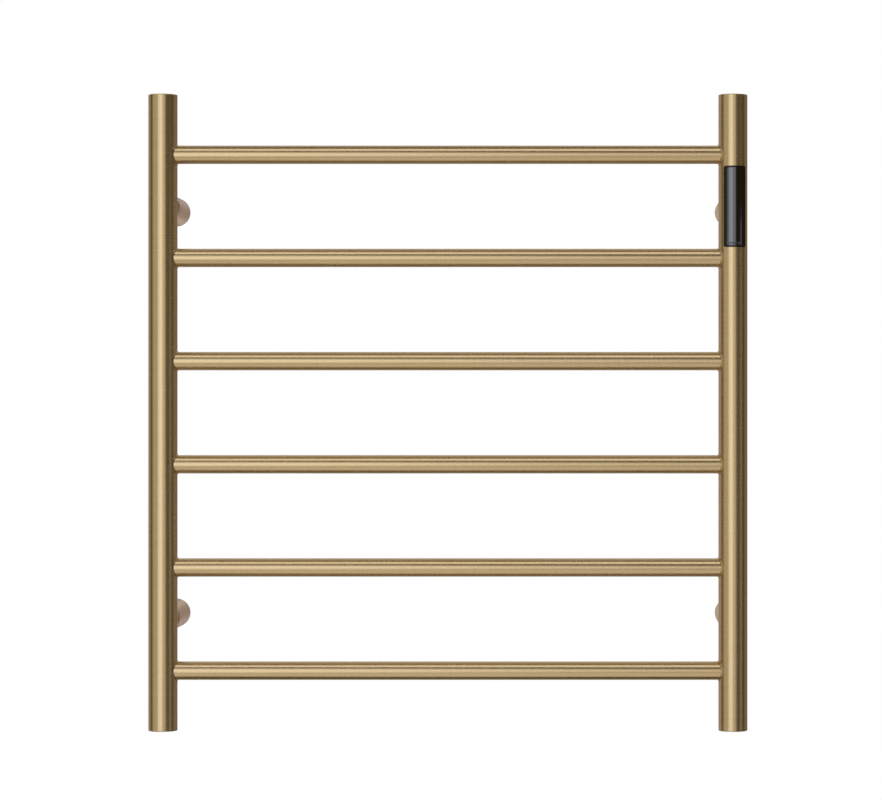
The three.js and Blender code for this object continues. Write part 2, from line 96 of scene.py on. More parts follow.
def control_box_mm(node):
    """A control part's lowest and highest corner, in millimetres, turned back square to the rail."""
    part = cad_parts[node]
    axis = POST["right"]
    back = Matrix.Rotation(-CONTROL_TURN, 3, "Z")
    points = [back @ (part.matrix_world @ v.co / MM - axis) + axis for v in part.data.vertices]
    low = Vector([min(p[i] for p in points) for i in range(3)])
    high = Vector([max(p[i] for p in points) for i in range(3)])
    return low, high


PANEL_LOW, PANEL_HIGH = control_box_mm("control_lens")
PANEL_Z = (PANEL_LOW.z + PANEL_HIGH.z) / 2

# ---------------------------------------------------------------- what a user would change


class TowelRailFinish(bpy.types.PropertyGroup):
    """The colours and the gloss of the rail."""

    brass: bpy.props.FloatVectorProperty(
        name="Brass", description="Colour of the brushed brass",
        subtype="COLOR", size=3, min=0, max=1, default=(0.70, 0.505, 0.262),
    )
    brass_pale: bpy.props.FloatVectorProperty(
        name="Pale brass", description="Colour of the brass on the crests of its brushing",
        subtype="COLOR", size=3, min=0, max=1, default=(0.78, 0.595, 0.345),
    )
    brass_roughness: bpy.props.FloatProperty(
        name="Brass roughness", description="Mean roughness of the brushed brass",
        subtype="FACTOR", min=0, max=1, default=0.25,
    )
    panel: bpy.props.FloatVectorProperty(
        name="Touch panel", description="Colour of the black touch panel",
        subtype="COLOR", size=3, min=0, max=1, default=(0.003, 0.003, 0.004),
    )
    heater: bpy.props.FloatVectorProperty(
        name="Heating cable", description="Colour of the heating cable's silicone",
        subtype="COLOR", size=3, min=0, max=1, default=(0.33, 0.035, 0.02),
    )


class TowelRailSizes(bpy.types.PropertyGroup):
    """The sizes of the details that the CAD frame leaves out."""

    weld: bpy.props.FloatProperty(
        name="Weld width", description="Width of the weld bead where a bar meets a post",
        unit="LENGTH", min=0.0002, max=0.003, default=0.0014,
    )
    cap_edge: bpy.props.FloatProperty(
        name="Cap edge", description="Radius of the eased edge round each post cap",
        unit="LENGTH", min=0.0002, max=0.0025, default=0.0008,
    )
    facets: bpy.props.IntProperty(
        name="Facets", description="Sides of the widest round pieces",
        min=32, max=256, default=128,
    )


class TowelRailStage(bpy.types.PropertyGroup):
    """The camera, the lights and the floor."""

    camera_distance: bpy.props.FloatProperty(
        name="Camera distance", description="From the lens to the posts' axes",
        unit="LENGTH", min=1, max=10, default=3.271,
    )
    light: bpy.props.FloatProperty(
        name="Light", description="Strength of all the lamps together",
        subtype="FACTOR", min=0, max=4, default=1.0,
    )
    floor_drop: bpy.props.FloatProperty(
        name="Floor drop", description="From the origin down to the floor",
        unit="LENGTH", min=0.35, max=3, default=1.3,
    )


# ---------------------------------------------------------------- shader expressions


class Value:
    """A shader socket that takes part in Python arithmetic, one Math node for each operator."""

    def __init__(self, shader, socket):
        self.shader = shader
        self.socket = socket

    def _math(self, operation, first, second, clamp=False):
        settings = {"operation": operation, "use_clamp": clamp}
        return self.shader.node("ShaderNodeMath", settings, {0: first, 1: second})["Value"]

    def __add__(self, other):
        return self._math("ADD", self, other)

    def __radd__(self, other):
        return self._math("ADD", other, self)

    def __sub__(self, other):
        return self._math("SUBTRACT", self, other)

    def __rsub__(self, other):
        return self._math("SUBTRACT", other, self)

    def __mul__(self, other):
        return self._math("MULTIPLY", self, other)

    def __rmul__(self, other):
        return self._math("MULTIPLY", other, self)

    def above(self, other):
        return self._math("GREATER_THAN", self, other)

    def clamped(self):
        return self._math("ADD", self, 0.0, clamp=True)


def socket_of(sockets, key):
    """A node's socket by its number, its identifier or its name."""
    if isinstance(key, int):
        return sockets[key]
    for socket in sockets:
        if socket.identifier == key:
            return socket
    return sockets[key]


class Node:
    """A shader node whose outputs are read as values."""

    def __init__(self, shader, node):
        self.shader = shader
        self.node = node

    def __getitem__(self, key):
        return Value(self.shader, socket_of(self.node.outputs, key))


class Shader:
    """A material's node tree, built from Python expressions."""

    def __init__(self, name):
        self.material = bpy.data.materials.new(name)
        self.material.use_nodes = True
        self.tree = self.material.node_tree
        self.tree.nodes.clear()

    def node(self, kind, settings=None, inputs=None):
        """Adds a node: its settings first, then the values or links of its sockets."""
        made = self.tree.nodes.new(kind)
        for key, value in (settings or {}).items():
            setattr(made, key, value)
        for key, value in (inputs or {}).items():
            socket = socket_of(made.inputs, key)
            if isinstance(value, Value):
                self.tree.links.new(value.socket, socket)
            else:
                socket.default_value = value
        return Node(self, made)

    def place(self, stretch):
        """The point on the surface, in metres, with each axis multiplied by its stretch."""
        where = self.node("ShaderNodeTexCoord")["Object"]
        return self.node("ShaderNodeVectorMath", {"operation": "MULTIPLY"}, {0: where, 1: stretch})["Vector"]

    def noise(self, stretch, detail=2.0, roughness=0.5):
        """Smooth noise from 0 to 1. The stretch is how many lumps there are in a metre, on each axis."""
        inputs = {"Vector": self.place(stretch), "Scale": 1.0, "Detail": detail, "Roughness": roughness}
        return self.node("ShaderNodeTexNoise", {"noise_dimensions": "3D"}, inputs)[0]

    def mix(self, factor, first, second):
        """A blend of two colours."""
        inputs = {"Factor_Float": factor, "A_Color": opaque(first), "B_Color": opaque(second)}
        return self.node("ShaderNodeMix", {"data_type": "RGBA"}, inputs)["Result_Color"]

    def bump(self, height, depth):
        """A surface direction from a height of 0 to 1 that stands for a depth in metres."""
        return self.node("ShaderNodeBump", None, {"Height": height, "Distance": depth})["Normal"]

    def finish(self, **inputs):
        """Adds the surface. Its keywords are the Principled shader's sockets, with _ for a space."""
        named = {key.replace("_", " "): value for key, value in inputs.items()}
        if "Base Color" in named:
            named["Base Color"] = opaque(named["Base Color"])
        surface = self.node("ShaderNodeBsdfPrincipled", None, named)["BSDF"]
        self.node("ShaderNodeOutputMaterial", None, {"Surface": surface})
        return self.material


def opaque(colour):
    """A colour with its alpha, or a socket as it is."""
    if isinstance(colour, Value) or len(colour) == 4:
        return colour
    return (*colour, 1.0)


# ---------------------------------------------------------------- materials

AXES = {"x": 0, "y": 1, "z": 2}
MATERIALS = {}
# The brackets are brushed round Y. Their brass is tinted less yellow as a painted reflection of the paler,
# greyer light that they pick up beside the posts.
BRACKET_REFLECTION_TINT = (1.05, 1.05, 1.28)


def stretched(axis, across, around):
    """A stretch that is fine across the brushing and long around it."""
    stretch = [around] * 3
    stretch[AXES[axis]] = across
    return tuple(stretch)


def brushed_brass(axis):
    """Brass-coloured steel, brushed round its axis."""
    finish = bpy.context.scene.towel_rail_finish
    shader = Shader(f"brushed_brass_{axis}")
    lines = shader.noise(stretched(axis, 2600.0, 22.0), detail=3.0, roughness=0.65)
    streaks = shader.noise(stretched(axis, 420.0, 9.0), detail=2.0, roughness=0.6)
    clouds = shader.noise((7.0, 7.0, 7.0), detail=3.0, roughness=0.55)
    tone = (lines * 1.1 + streaks * 0.12 + clouds * 0.35 - 0.28).clamped()
    # The brackets get a painted reflection: their copy of the brass is tinted paler and bluer.
    tint = BRACKET_REFLECTION_TINT if axis == "y" else (1.0, 1.0, 1.0)
    dark, pale = ([c * t for c, t in zip(brass, tint)] for brass in (finish.brass, finish.brass_pale))
    colour = shader.mix(tone, dark, pale)
    roughness = finish.brass_roughness - 0.08 + lines * 0.11 + streaks * 0.02 + clouds * 0.03
    return shader.finish(
        Base_Color=colour, Metallic=0.85, Roughness=roughness,
        Normal=shader.bump(lines, depth=0.0000015),
        Coat_Weight=0.06, Coat_Roughness=0.12,
    )


def weld_metal_with_painted_shade():
    """The metal of the weld beads, brushed over and coloured darker than the brass: partly random grain,
    partly painted shade for the dark line where a bar meets a post.
    """
    finish = bpy.context.scene.towel_rail_finish
    shader = Shader("weld_metal_with_painted_shade")
    grain = shader.noise((900.0, 900.0, 900.0), detail=3.0, roughness=0.6)
    # The darker end of this grain is painted shade along the joint, mixed with random grain.
    colour = shader.mix(grain, [0.78 * c for c in finish.brass], tuple(finish.brass))
    return shader.finish(
        Base_Color=colour, Metallic=1.0, Roughness=0.27 + grain * 0.12,
        Normal=shader.bump(grain, depth=0.00004),
    )


def plain_metal(name, colour, roughness, grain_depth=0.00001):
    """A machined or plated metal with a fine grain."""
    shader = Shader(name)
    grain = shader.noise((1500.0, 1500.0, 1500.0), detail=3.0, roughness=0.6)
    stain = shader.noise((60.0, 60.0, 60.0), detail=2.0, roughness=0.5)
    tone = shader.mix((grain * 0.5 + stain * 0.5).clamped(), [0.8 * c for c in colour], colour)
    return shader.finish(
        Base_Color=tone, Metallic=1.0, Roughness=roughness - 0.05 + grain * 0.1,
        Normal=shader.bump(grain, depth=grain_depth),
    )


def moulded(name, colour, roughness, grain_depth=0.00002, lumps=2200.0):
    """A moulded plastic, rubber or silicone with a fine texture."""
    shader = Shader(name)
    grain = shader.noise((lumps, lumps, lumps), detail=2.0, roughness=0.5)
    dust = shader.noise((90.0, 90.0, 90.0), detail=3.0, roughness=0.6)
    darker, lighter = [0.86 * c for c in colour], [1.08 * c for c in colour]
    tone = shader.mix((grain * 0.35 + dust * 0.65).clamped(), darker, lighter)
    return shader.finish(
        Base_Color=tone, Roughness=roughness - 0.06 + grain * 0.12,
        Normal=shader.bump(grain, depth=grain_depth),
    )


def panel_glass():
    """The polished black panel: a dark body under a strongly reflecting surface."""
    finish = bpy.context.scene.towel_rail_finish
    shader = Shader("panel_glass")
    smears = shader.noise((70.0, 70.0, 35.0), detail=3.0, roughness=0.6)
    dust = shader.noise((2600.0, 2600.0, 2600.0), detail=1.0, roughness=0.4)
    colour = shader.mix(smears, tuple(finish.panel), [1.6 * c for c in finish.panel])
    return shader.finish(
        Base_Color=colour, Roughness=0.03 + smears * 0.04 + dust * 0.01, IOR=2.5,
        Specular_Tint=(0.94, 0.93, 1.0, 1.0),
        Normal=shader.bump(smears, depth=0.00001),
    )


def circuit_board():
    """Green solder mask with the pale lines of the tracks under it."""
    shader = Shader("circuit_board")
    tracks = shader.noise((700.0, 20.0, 60.0), detail=0.0)
    pads = shader.noise((240.0, 240.0, 240.0), detail=0.0)
    lines = (tracks - 0.52).above(0.02) * 0.5 + (pads - 0.66).above(0.0) * 0.5
    colour = shader.mix(lines, (0.006, 0.075, 0.032), (0.03, 0.17, 0.07))
    return shader.finish(
        Base_Color=colour, Roughness=0.38 - lines * 0.1,
        Normal=shader.bump(lines, depth=0.00003),
    )


def material(name):
    """A material by name, made the first time that it is asked for."""
    makers = {
        "brass_x": lambda: brushed_brass("x"),
        "brass_y": lambda: brushed_brass("y"),
        "brass_z": lambda: brushed_brass("z"),
        "weld": weld_metal_with_painted_shade,
        "steel": lambda: plain_metal("zinc_plated_steel", (0.62, 0.63, 0.64), 0.34),
        "black_oxide": lambda: plain_metal("black_oxide_steel", (0.045, 0.045, 0.048), 0.42),
        "tinned_copper": lambda: plain_metal("tinned_copper", (0.72, 0.68, 0.61), 0.28),
        "panel_glass": panel_glass,
        "panel_rim": lambda: moulded("panel_rim", (0.005, 0.005, 0.005), 0.45),
        "rubber": lambda: moulded("black_rubber", (0.018, 0.018, 0.018), 0.8),
        "black_plastic": lambda: moulded("black_plastic", (0.02, 0.02, 0.022), 0.55),
        "white_plastic": lambda: moulded("white_plastic", (0.74, 0.72, 0.68), 0.5),
        "diffuser": lambda: moulded("diffuser", (0.70, 0.62, 0.50), 0.35),
        "ceramic": lambda: moulded("ceramic", (0.30, 0.20, 0.11), 0.42),
        "blue_plastic": lambda: moulded("blue_plastic", (0.02, 0.12, 0.42), 0.42),
        "board": circuit_board,
        "silicone": lambda: moulded(
            "red_silicone", tuple(bpy.context.scene.towel_rail_finish.heater), 0.68, lumps=900.0,
        ),
        "grey_sheath": lambda: moulded("grey_sheath", (0.16, 0.165, 0.17), 0.62, lumps=700.0),
        "earth_sheath": lambda: moulded("earth_sheath", (0.12, 0.3, 0.03), 0.6, lumps=700.0),
    }
    if name not in MATERIALS:
        MATERIALS[name] = makers[name]()
    return MATERIALS[name]


# ---------------------------------------------------------------- mesh tools


def mesh_object(name, points, faces):
    """A mesh object in the scene, from points in millimetres."""
    mesh = bpy.data.meshes.new(name)
    mesh.from_pydata([Vector(p) * MM for p in points], [], faces)
    shape = bmesh.new()
    shape.from_mesh(mesh)
    bmesh.ops.recalc_face_normals(shape, faces=shape.faces)
    shape.to_mesh(mesh)
    shape.free()
    made = bpy.data.objects.new(name, mesh)
    bpy.context.scene.collection.objects.link(made)
    return made


def on_axis(axis, radius, distance, angle):
    """A point at a radius and an angle round an axis through the origin."""
    across, up = radius * math.cos(angle), radius * math.sin(angle)
    if axis == "x":
        return Vector((distance, across, up))
    if axis == "y":
        return Vector((up, distance, across))
    return Vector((across, up, distance))


def arc_point(start, middle, end, s):
    """A point on the smooth curve that leaves the start towards the middle and reaches the end from it."""
    return start * (1 - s) ** 2 + middle * 2 * s * (1 - s) + end * s ** 2


def eased(corners, steps=4, support=0.25):
    """A closed profile with rounded corners. A corner is (radius, distance), or (radius, distance, ease)."""
    profile = []
    count = len(corners)
    for i, corner in enumerate(corners):
        here = Vector(corner[:2])
        ease = corner[2] if len(corner) > 2 else 0
        if not ease:
            profile.append(here)
            continue
        before = Vector(corners[i - 1][:2]) - here
        after = Vector(corners[(i + 1) % count][:2]) - here
        before_reach = min(ease, before.length * 0.45)
        after_reach = min(ease, after.length * 0.45)
        start = here + before.normalized() * before_reach
        end = here + after.normalized() * after_reach
        if before.length - before_reach > 4 * support:
            profile.append(start + before.normalized() * support)
        profile += [arc_point(start, here, end, step / steps) for step in range(steps + 1)]
        if after.length - after_reach > 4 * support:
            profile.append(end + after.normalized() * support)
    return profile


def turned(name, axis, centre, corners, sides=None):
    """A ring turned round an axis through the centre. Its profile closes on itself, or on the axis."""
    sides = sides or bpy.context.scene.towel_rail_sizes.facets
    profile = eased(corners)
    points, rings = [], []
    for radius, distance in profile:
        ring = []
        for side in range(sides if radius > 1e-6 else 1):
            ring.append(len(points))
            points.append(Vector(centre) + on_axis(axis, radius, distance, 2 * math.pi * side / sides))
        rings.append(ring)
    faces = []
    for lower, upper in zip(rings, rings[1:] + rings[:1]):
        for side in range(sides):
            after = (side + 1) % sides
            if len(lower) == len(upper) == 1:
                break
            if len(lower) == 1:
                faces.append((lower[0], upper[after], upper[side]))
            elif len(upper) == 1:
                faces.append((lower[side], lower[after], upper[0]))
            else:
                faces.append((lower[side], lower[after], upper[after], upper[side]))
    return mesh_object(name, points, faces)


def prism(name, outline, axis, start, end):
    """An outline extruded along an axis. The outline lists points on the other two axes, in X, Y, Z order."""
    others = [i for i in range(3) if i != AXES[axis]]
    points = []
    for distance in (start, end):
        for u, v in outline:
            point = Vector((0, 0, 0))
            point[AXES[axis]] = distance
            point[others[0]], point[others[1]] = u, v
            points.append(point)
    count = len(outline)
    faces = [tuple(range(count)), tuple(range(count, 2 * count))]
    faces += [(i, (i + 1) % count, count + (i + 1) % count, count + i) for i in range(count)]
    return mesh_object(name, points, faces)


def rounded_outline(centre, width, height, corner, steps=6):
    """The points round a rectangle with rounded corners."""
    points = []
    for quarter, (sx, sy) in enumerate(((1, 1), (-1, 1), (-1, -1), (1, -1))):
        for step in range(steps + 1):
            angle = math.pi / 2 * (quarter + step / steps)
            x = centre[0] + sx * (width / 2 - corner) + corner * math.cos(angle)
            y = centre[1] + sy * (height / 2 - corner) + corner * math.sin(angle)
            points.append((x, y))
    return points


def hexagon(centre, flats, turn=0.0):
    """The points round a hexagon, by the distance across its flats."""
    radius = flats / math.sqrt(3)
    angles = [math.radians(60 * i + turn) for i in range(6)]
    return [(centre[0] + radius * math.cos(a), centre[1] + radius * math.sin(a)) for a in angles]


def swept(name, route, section):
    """A section swept along a route of (point, direction) stations, without twist. The ends are closed."""
    points, faces = [], []
    direction = route[0][1]
    side = direction.orthogonal().normalized()
    for point, heading in route:
        turn = direction.rotation_difference(heading)
        side = (turn @ side).normalized()
        direction = heading
        up = heading.cross(side)
        points += [point + side * u + up * v for u, v in section]
    count = len(section)
    for ring in range(len(route) - 1):
        for i in range(count):
            after = (i + 1) % count
            low, high = ring * count, (ring + 1) * count
            faces.append((low + i, low + after, high + after, high + i))
    faces.append(tuple(range(count)))
    faces.append(tuple(range(len(points) - count, len(points))))
    return mesh_object(name, points, faces)


def circle(radius, sides=20):
    angles = [2 * math.pi * i / sides for i in range(sides)]
    return [(radius * math.cos(a), radius * math.sin(a)) for a in angles]


def bent_route(corners, bend, steps=10):
    """Stations of straight runs joined by round bends, with one more station just beyond each bend."""
    corners = [Vector(c) for c in corners]
    headings = [(b - a).normalized() for a, b in zip(corners, corners[1:])]
    stations = [(corners[0], headings[0])]
    for corner, before, after in zip(corners[1:], headings, headings[1:]):
        angle = before.angle(after)
        reach = bend * math.tan(angle / 2)
        inwards = (after - before).normalized()
        centre = corner + inwards * (bend / math.cos(angle / 2))
        arm = corner - before * reach - centre
        axis = before.cross(after).normalized()
        stations.append((corner - before * (reach + 0.3), before))
        for step in range(steps + 1):
            turn = Matrix.Rotation(angle * step / steps, 3, axis)
            stations.append((centre + turn @ arm, turn @ before))
        stations.append((corner + after * (reach + 0.3), after))
    stations.append((corners[-1], headings[-1]))
    return stations


def carve(body, *tools, operation="DIFFERENCE"):
    """Cuts the tools out of a body, or keeps what they share, and removes the tools."""
    for tool in tools:
        modifier = body.modifiers.new("carve", "BOOLEAN")
        modifier.operation = operation
        modifier.solver = "EXACT"
        modifier.object = tool
    settle(body)
    for tool in tools:
        bpy.data.objects.remove(tool, do_unlink=True)
    return body


def settle(body):
    """Makes a body's modifiers part of its mesh."""
    bpy.context.view_layer.update()
    graph = bpy.context.evaluated_depsgraph_get()
    mesh = bpy.data.meshes.new_from_object(body.evaluated_get(graph))
    old = body.data
    body.modifiers.clear()
    body.data = mesh
    bpy.data.meshes.remove(old)
    mesh.name = body.name
    return body


def soften_edges(body, width, angle=40.0, segments=3):
    """Rounds the sharp edges of a body."""
    modifier = body.modifiers.new("soft_edges", "BEVEL")
    modifier.width = width * MM
    modifier.segments = segments
    modifier.limit_method = "ANGLE"
    modifier.angle_limit = math.radians(angle)
    modifier.miter_outer = "MITER_ARC"
    return settle(body)


def smooth(body, angle=32.0):
    """Smooth shading, with an edge kept crisp where it turns further than the angle."""
    for polygon in body.data.polygons:
        polygon.use_smooth = True
    body.data.set_sharp_from_angle(angle=math.radians(angle))
    return body


def true_round(body, axis, centre, radii, angle=32.0):
    """Shades the faces that lie on cylinders round an axis as truly round, and the rest smoothly."""
    smooth(body, angle)
    mesh = body.data
    normals = [Vector(n.vector) for n in mesh.corner_normals]
    flat = Vector((1, 1, 1))
    flat[AXES[axis]] = 0
    spokes = [(v.co - Vector(centre) * MM) * flat for v in mesh.vertices]
    lengths = [spoke.length for spoke in spokes]
    for polygon in mesh.polygons:
        mean = sum((spokes[v] for v in polygon.vertices), Vector()) / len(polygon.vertices)
        if mean.length < 1e-9 or abs(polygon.normal.dot(mean.normalized())) < 0.99:
            continue
        sign = 1 if polygon.normal.dot(mean) > 0 else -1
        for radius in radii:
            if all(abs(lengths[v] - radius * MM) < 0.02 * MM for v in polygon.vertices):
                for loop in polygon.loop_indices:
                    vertex = mesh.loops[loop].vertex_index
                    normals[loop] = spokes[vertex].normalized() * sign
    mesh.normals_split_custom_set(normals)
    return body


def dress(piece, finish, body, slot, *nodes):
    """Gives a piece its material and its body, and hides the CAD nodes that it stands for. Its slot is not
    used.
    """
    piece.data.materials.clear()
    piece.data.materials.append(material(finish))
    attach(piece, body)
    if nodes:
        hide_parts(*nodes)
    return piece


METAL = "brushed_brass_gold"


# ---------------------------------------------------------------- posts, caps, bars and welds

BAR_DOORWAY = 7.0
BRACKET_HOLE = 3.6
LEAD_HOLE = 5.5
EARTH_HOLE = 2.3
PANEL_PLAY = 0.6
WELD_SIDES = 144
WELD_STEPS = 6


def hole(axis, centre, radius, start, end, sides=48):
    """A rod used to cut a round hole."""
    return turned("hole", axis, centre, [(0, start), (radius, start), (radius, end), (0, end)], sides)


def post_tube(side):
    """A post: a thin tube with a doorway behind each bar and a hole behind each bracket."""
    axis = POST[side]
    inner = POST_RADIUS - POST_WALL
    end = RAIL_TOP - CAP_THICKNESS
    corners = [(inner, -end), (POST_RADIUS, -end), (POST_RADIUS, end), (inner, end)]
    tube = turned(f"{side}_post_tube", "z", axis, corners)
    through = POST_RADIUS + 5.0
    inwards = through if side == "left" else -through
    tools = [hole("x", (axis.x, axis.y, centre_mm(bar).z), BAR_DOORWAY, 0.0, inwards) for bar in BARS]
    for level in ("upper", "lower"):
        z = centre_mm(f"sleeve_{level}_{side}").z
        tools.append(hole("y", (axis.x, axis.y, z), BRACKET_HOLE, 0.0, through))
    if side == "right":
        size = PANEL_HIGH - PANEL_LOW
        outline = rounded_outline((axis.x, PANEL_Z), size.x + PANEL_PLAY, size.z + PANEL_PLAY, 2.0)
        tools.append(turned_out(prism("window", outline, "y", axis.y - CLEAR, axis.y - PANEL_CUT_BACK)))
        tools.append(hole("y", (axis.x, axis.y, GLAND.z), LEAD_HOLE, 0.0, through))
        tools.append(hole("y", (axis.x, axis.y, EARTH.z), EARTH_HOLE, 0.0, through))
    carve(tube, *tools)
    true_round(tube, "z", axis, (POST_RADIUS, inner))
    return dress(tube, "brass_z", "rail", METAL, f"{side}_post")


def post_cap(side, end):
    """A cap with an eased edge, pressed into the post by its spigot."""
    up = 1 if end == "top" else -1
    edge = bpy.context.scene.towel_rail_sizes.cap_edge / MM
    spigot, spigot_bore, depth = 13.5, 11.5, 11.0
    profile = [
        (0, 0), (POST_RADIUS, 0, edge), (POST_RADIUS, -CAP_THICKNESS), (spigot, -CAP_THICKNESS),
        (spigot, -depth, 0.4), (spigot_bore, -depth, 0.3), (spigot_bore, -4.0), (0, -4.0),
    ]
    corners = [(r, up * (RAIL_TOP + d), *ease) for r, d, *ease in profile]
    cap = turned(f"{side}_post_cap_{end}", "z", POST[side], corners)
    smooth(cap)
    return dress(cap, "brass_z", "rail", METAL, f"cap_{side}_{end}")


def coped_end(radius, angle, into=0.4):
    """How far from a post's axis a bar's wall ends, at an angle round the bar."""
    return math.sqrt((POST_RADIUS - into) ** 2 - (radius * math.cos(angle)) ** 2)


def bar_tube(bar):
    """A thin tube whose ends are coped to the posts."""
    z = centre_mm(bar).z
    sides = bpy.context.scene.towel_rail_sizes.facets
    inner = BAR_RADIUS - BAR_WALL
    points, faces = [], []
    stations = [("left", inner), ("left", BAR_RADIUS), ("right", BAR_RADIUS), ("right", inner)]
    for side, radius in stations:
        inwards = 1 if side == "left" else -1
        for i in range(sides):
            angle = 2 * math.pi * i / sides
            x = POST[side].x + inwards * coped_end(radius, angle)
            points.append(Vector((x, POST[side].y, z)) + on_axis("x", radius, 0, angle))
    for ring in range(4):
        low, high = ring * sides, (ring + 1) % 4 * sides
        for i in range(sides):
            after = (i + 1) % sides
            faces.append((low + i, low + after, high + after, high + i))
    tube = mesh_object(f"{bar}_tube", points, faces)
    true_round(tube, "x", (0, POST["left"].y, z), (BAR_RADIUS, inner))
    return dress(tube, "brass_x", "rail", METAL, bar)


def weld_bead(bar, side):
    """A small fillet of weld round the joint of a bar and a post, slightly uneven, as a hand leaves it."""
    width = bpy.context.scene.towel_rail_sizes.weld / MM
    z = centre_mm(bar).z
    inwards = 1 if side == "left" else -1
    post = POST[side]
    points, faces = [], []
    for i in range(WELD_SIDES):
        angle = 2 * math.pi * i / WELD_SIDES
        off_bar = Vector((0, math.cos(angle), math.sin(angle)))
        reach = math.sqrt(POST_RADIUS ** 2 - (BAR_RADIUS * off_bar.y) ** 2)
        corner = Vector((post.x + inwards * reach, post.y, z)) + off_bar * BAR_RADIUS
        off_post = Vector((inwards * reach, BAR_RADIUS * off_bar.y, 0)).normalized()
        along = off_bar.cross(off_post).normalized()
        on_bar, on_post = along.cross(off_bar), along.cross(off_post)
        if on_bar.x * inwards <= 0:
            on_bar = -on_bar
        if on_post.dot(off_bar) <= 0:
            on_post = -on_post
        ripple = 1 + 0.03 * math.sin(17 * angle) + 0.03 * math.sin(7 * angle + 1.3)
        start = corner + on_bar * width * 0.65 * ripple - off_bar * 0.1
        end = corner + on_post * width * ripple - off_post * 0.1
        middle = corner + (on_bar * 0.42 + on_post * 0.62) * width * ripple
        points += [arc_point(start, middle, end, step / WELD_STEPS) for step in range(WELD_STEPS + 1)]
        points.append(corner - (off_bar + off_post) * 0.35)
    count = WELD_STEPS + 2
    for i in range(WELD_SIDES):
        low, high = i * count, (i + 1) % WELD_SIDES * count
        for step in range(count):
            after = (step + 1) % count
            faces.append((low + step, low + after, high + after, high + step))
    bead = mesh_object(f"{bar}_weld_{side}", points, faces)
    smooth(bead, 60.0)
    return dress(bead, "weld", "rail", METAL)


# ---------------------------------------------------------------- brackets

NECK_RADIUS = 8.0
NECK_LENGTH = 4.0
SLEEVE_RADIUS = half_width_mm("sleeve_upper_left")
SLEEVE_BORE = 10.9
SLEEVE_FLOOR = 8.0
SPIGOT_RADIUS = 10.5
SPIGOT_BORE = 7.5
SPIGOT_LENGTH = 46.0
BASE_THICKNESS = 6.0
WALL_SCREW_HOLE = 2.75


def socket_cut(name, axis, centre, flats, start, end):
    """A hexagon prism that cuts a screw's socket."""
    others = [i for i in range(3) if i != AXES[axis]]
    return prism(name, hexagon((centre[others[0]], centre[others[1]]), flats), axis, start, end)


def cross_recess(body, at, top, depth, arm, half_slot):
    """Cuts a cross into the head of a screw that faces +Y."""
    blades = []
    for u, v in ((arm, half_slot), (half_slot, arm)):
        left, right, below, above = at[0] - u, at[0] + u, at[2] - v, at[2] + v
        outline = [(left, below), (right, below), (right, above), (left, above)]
        blades.append(prism("cross", outline, "y", top - depth, top + 1))
    return carve(body, *blades)


def threaded(name, axis, centre, radius, pitch, start, end, head=(), sides=32):
    """A screw's shank with a rounded thread, and the head's profile after it. The tip is at the start."""
    root = radius - pitch * 0.55
    profile = [(0, start), (radius - pitch * 0.6, start)]
    way = 1 if end > start else -1
    turns = int(abs(end - start) / pitch)
    for turn in range(turns):
        base = start + way * pitch * turn
        profile.append((root, base + way * pitch * 0.25))
        profile.append((radius, base + way * pitch * 0.62))
        profile.append((radius, base + way * pitch * 0.78))
    profile.append((root, start + way * pitch * turns))
    profile += head if head else [(root, end), (0, end)]
    return turned(name, axis, centre, profile, sides)


def bracket_sleeve(corner, post, at):
    """The sleeve behind a post: a neck saddled to the post, and a wide bore that the base slides in."""
    front = post.y + POST_RADIUS + NECK_LENGTH
    rear = SLEEVE_REAR
    sleeve = turned(
        f"bracket_sleeve_{corner}", "y", at,
        [
            (3.3, post.y), (NECK_RADIUS, post.y), (NECK_RADIUS, front - 0.6), (NECK_RADIUS + 0.6, front),
            (SLEEVE_RADIUS, front, 1.0), (SLEEVE_RADIUS, rear, 0.35), (SLEEVE_BORE, rear, 0.3),
            (SLEEVE_BORE, front + SLEEVE_FLOOR), (3.3, front + SLEEVE_FLOOR),
        ],
    )
    low, high = at.z - CLEAR, at.z + CLEAR
    carve(
        sleeve,
        hole("z", (post.x, post.y, 0), POST_RADIUS, low, high, 128),
        hole("z", (post.x, rear - 11.7, 0), 2.8, low, at.z),
    )
    true_round(sleeve, "y", at, (SLEEVE_RADIUS, SLEEVE_BORE, NECK_RADIUS))
    return dress(sleeve, "brass_y", "rail", METAL, f"sleeve_{corner}")


def bracket_base(corner, at):
    """The round base on the wall, whose spigot slides in the sleeve. Its screw hole is countersunk."""
    spigot, shoulder, inside = -SPIGOT_LENGTH, -BASE_THICKNESS, -5.0
    base = turned(
        f"bracket_base_{corner}", "y", at,
        [
            (WALL_SCREW_HOLE, -2.5), (5.2, inside), (SPIGOT_BORE, inside), (SPIGOT_BORE, spigot, 0.3),
            (SPIGOT_RADIUS, spigot, 0.6), (SPIGOT_RADIUS, shoulder), (SLEEVE_RADIUS, shoulder, 0.35),
            (SLEEVE_RADIUS, 0.0, 0.5), (WALL_SCREW_HOLE, 0.0, 0.2),
        ],
    )
    smooth(base)
    return dress(base, "brass_y", f"base_{corner}", METAL, f"wall_base_{corner}")


def bracket_screw(corner, at):
    """The socket-head screw that holds a sleeve to its post."""
    node = f"bracket_screw_{corner}"
    low, high = box_mm(node)
    seat = high.y - 6.0
    head = [(3.0, seat), (5.0, seat, 0.2), (5.0, high.y, 0.6), (0, high.y)]
    screw = threaded(f"{node}_m6", "y", at, 3.0, 1.0, low.y, seat, head)
    carve(screw, socket_cut("socket", "y", at, 5.0, high.y - 3.0, high.y + 1.0))
    smooth(screw)
    return dress(screw, "black_oxide", "rail", "black_oxide_steel", node)


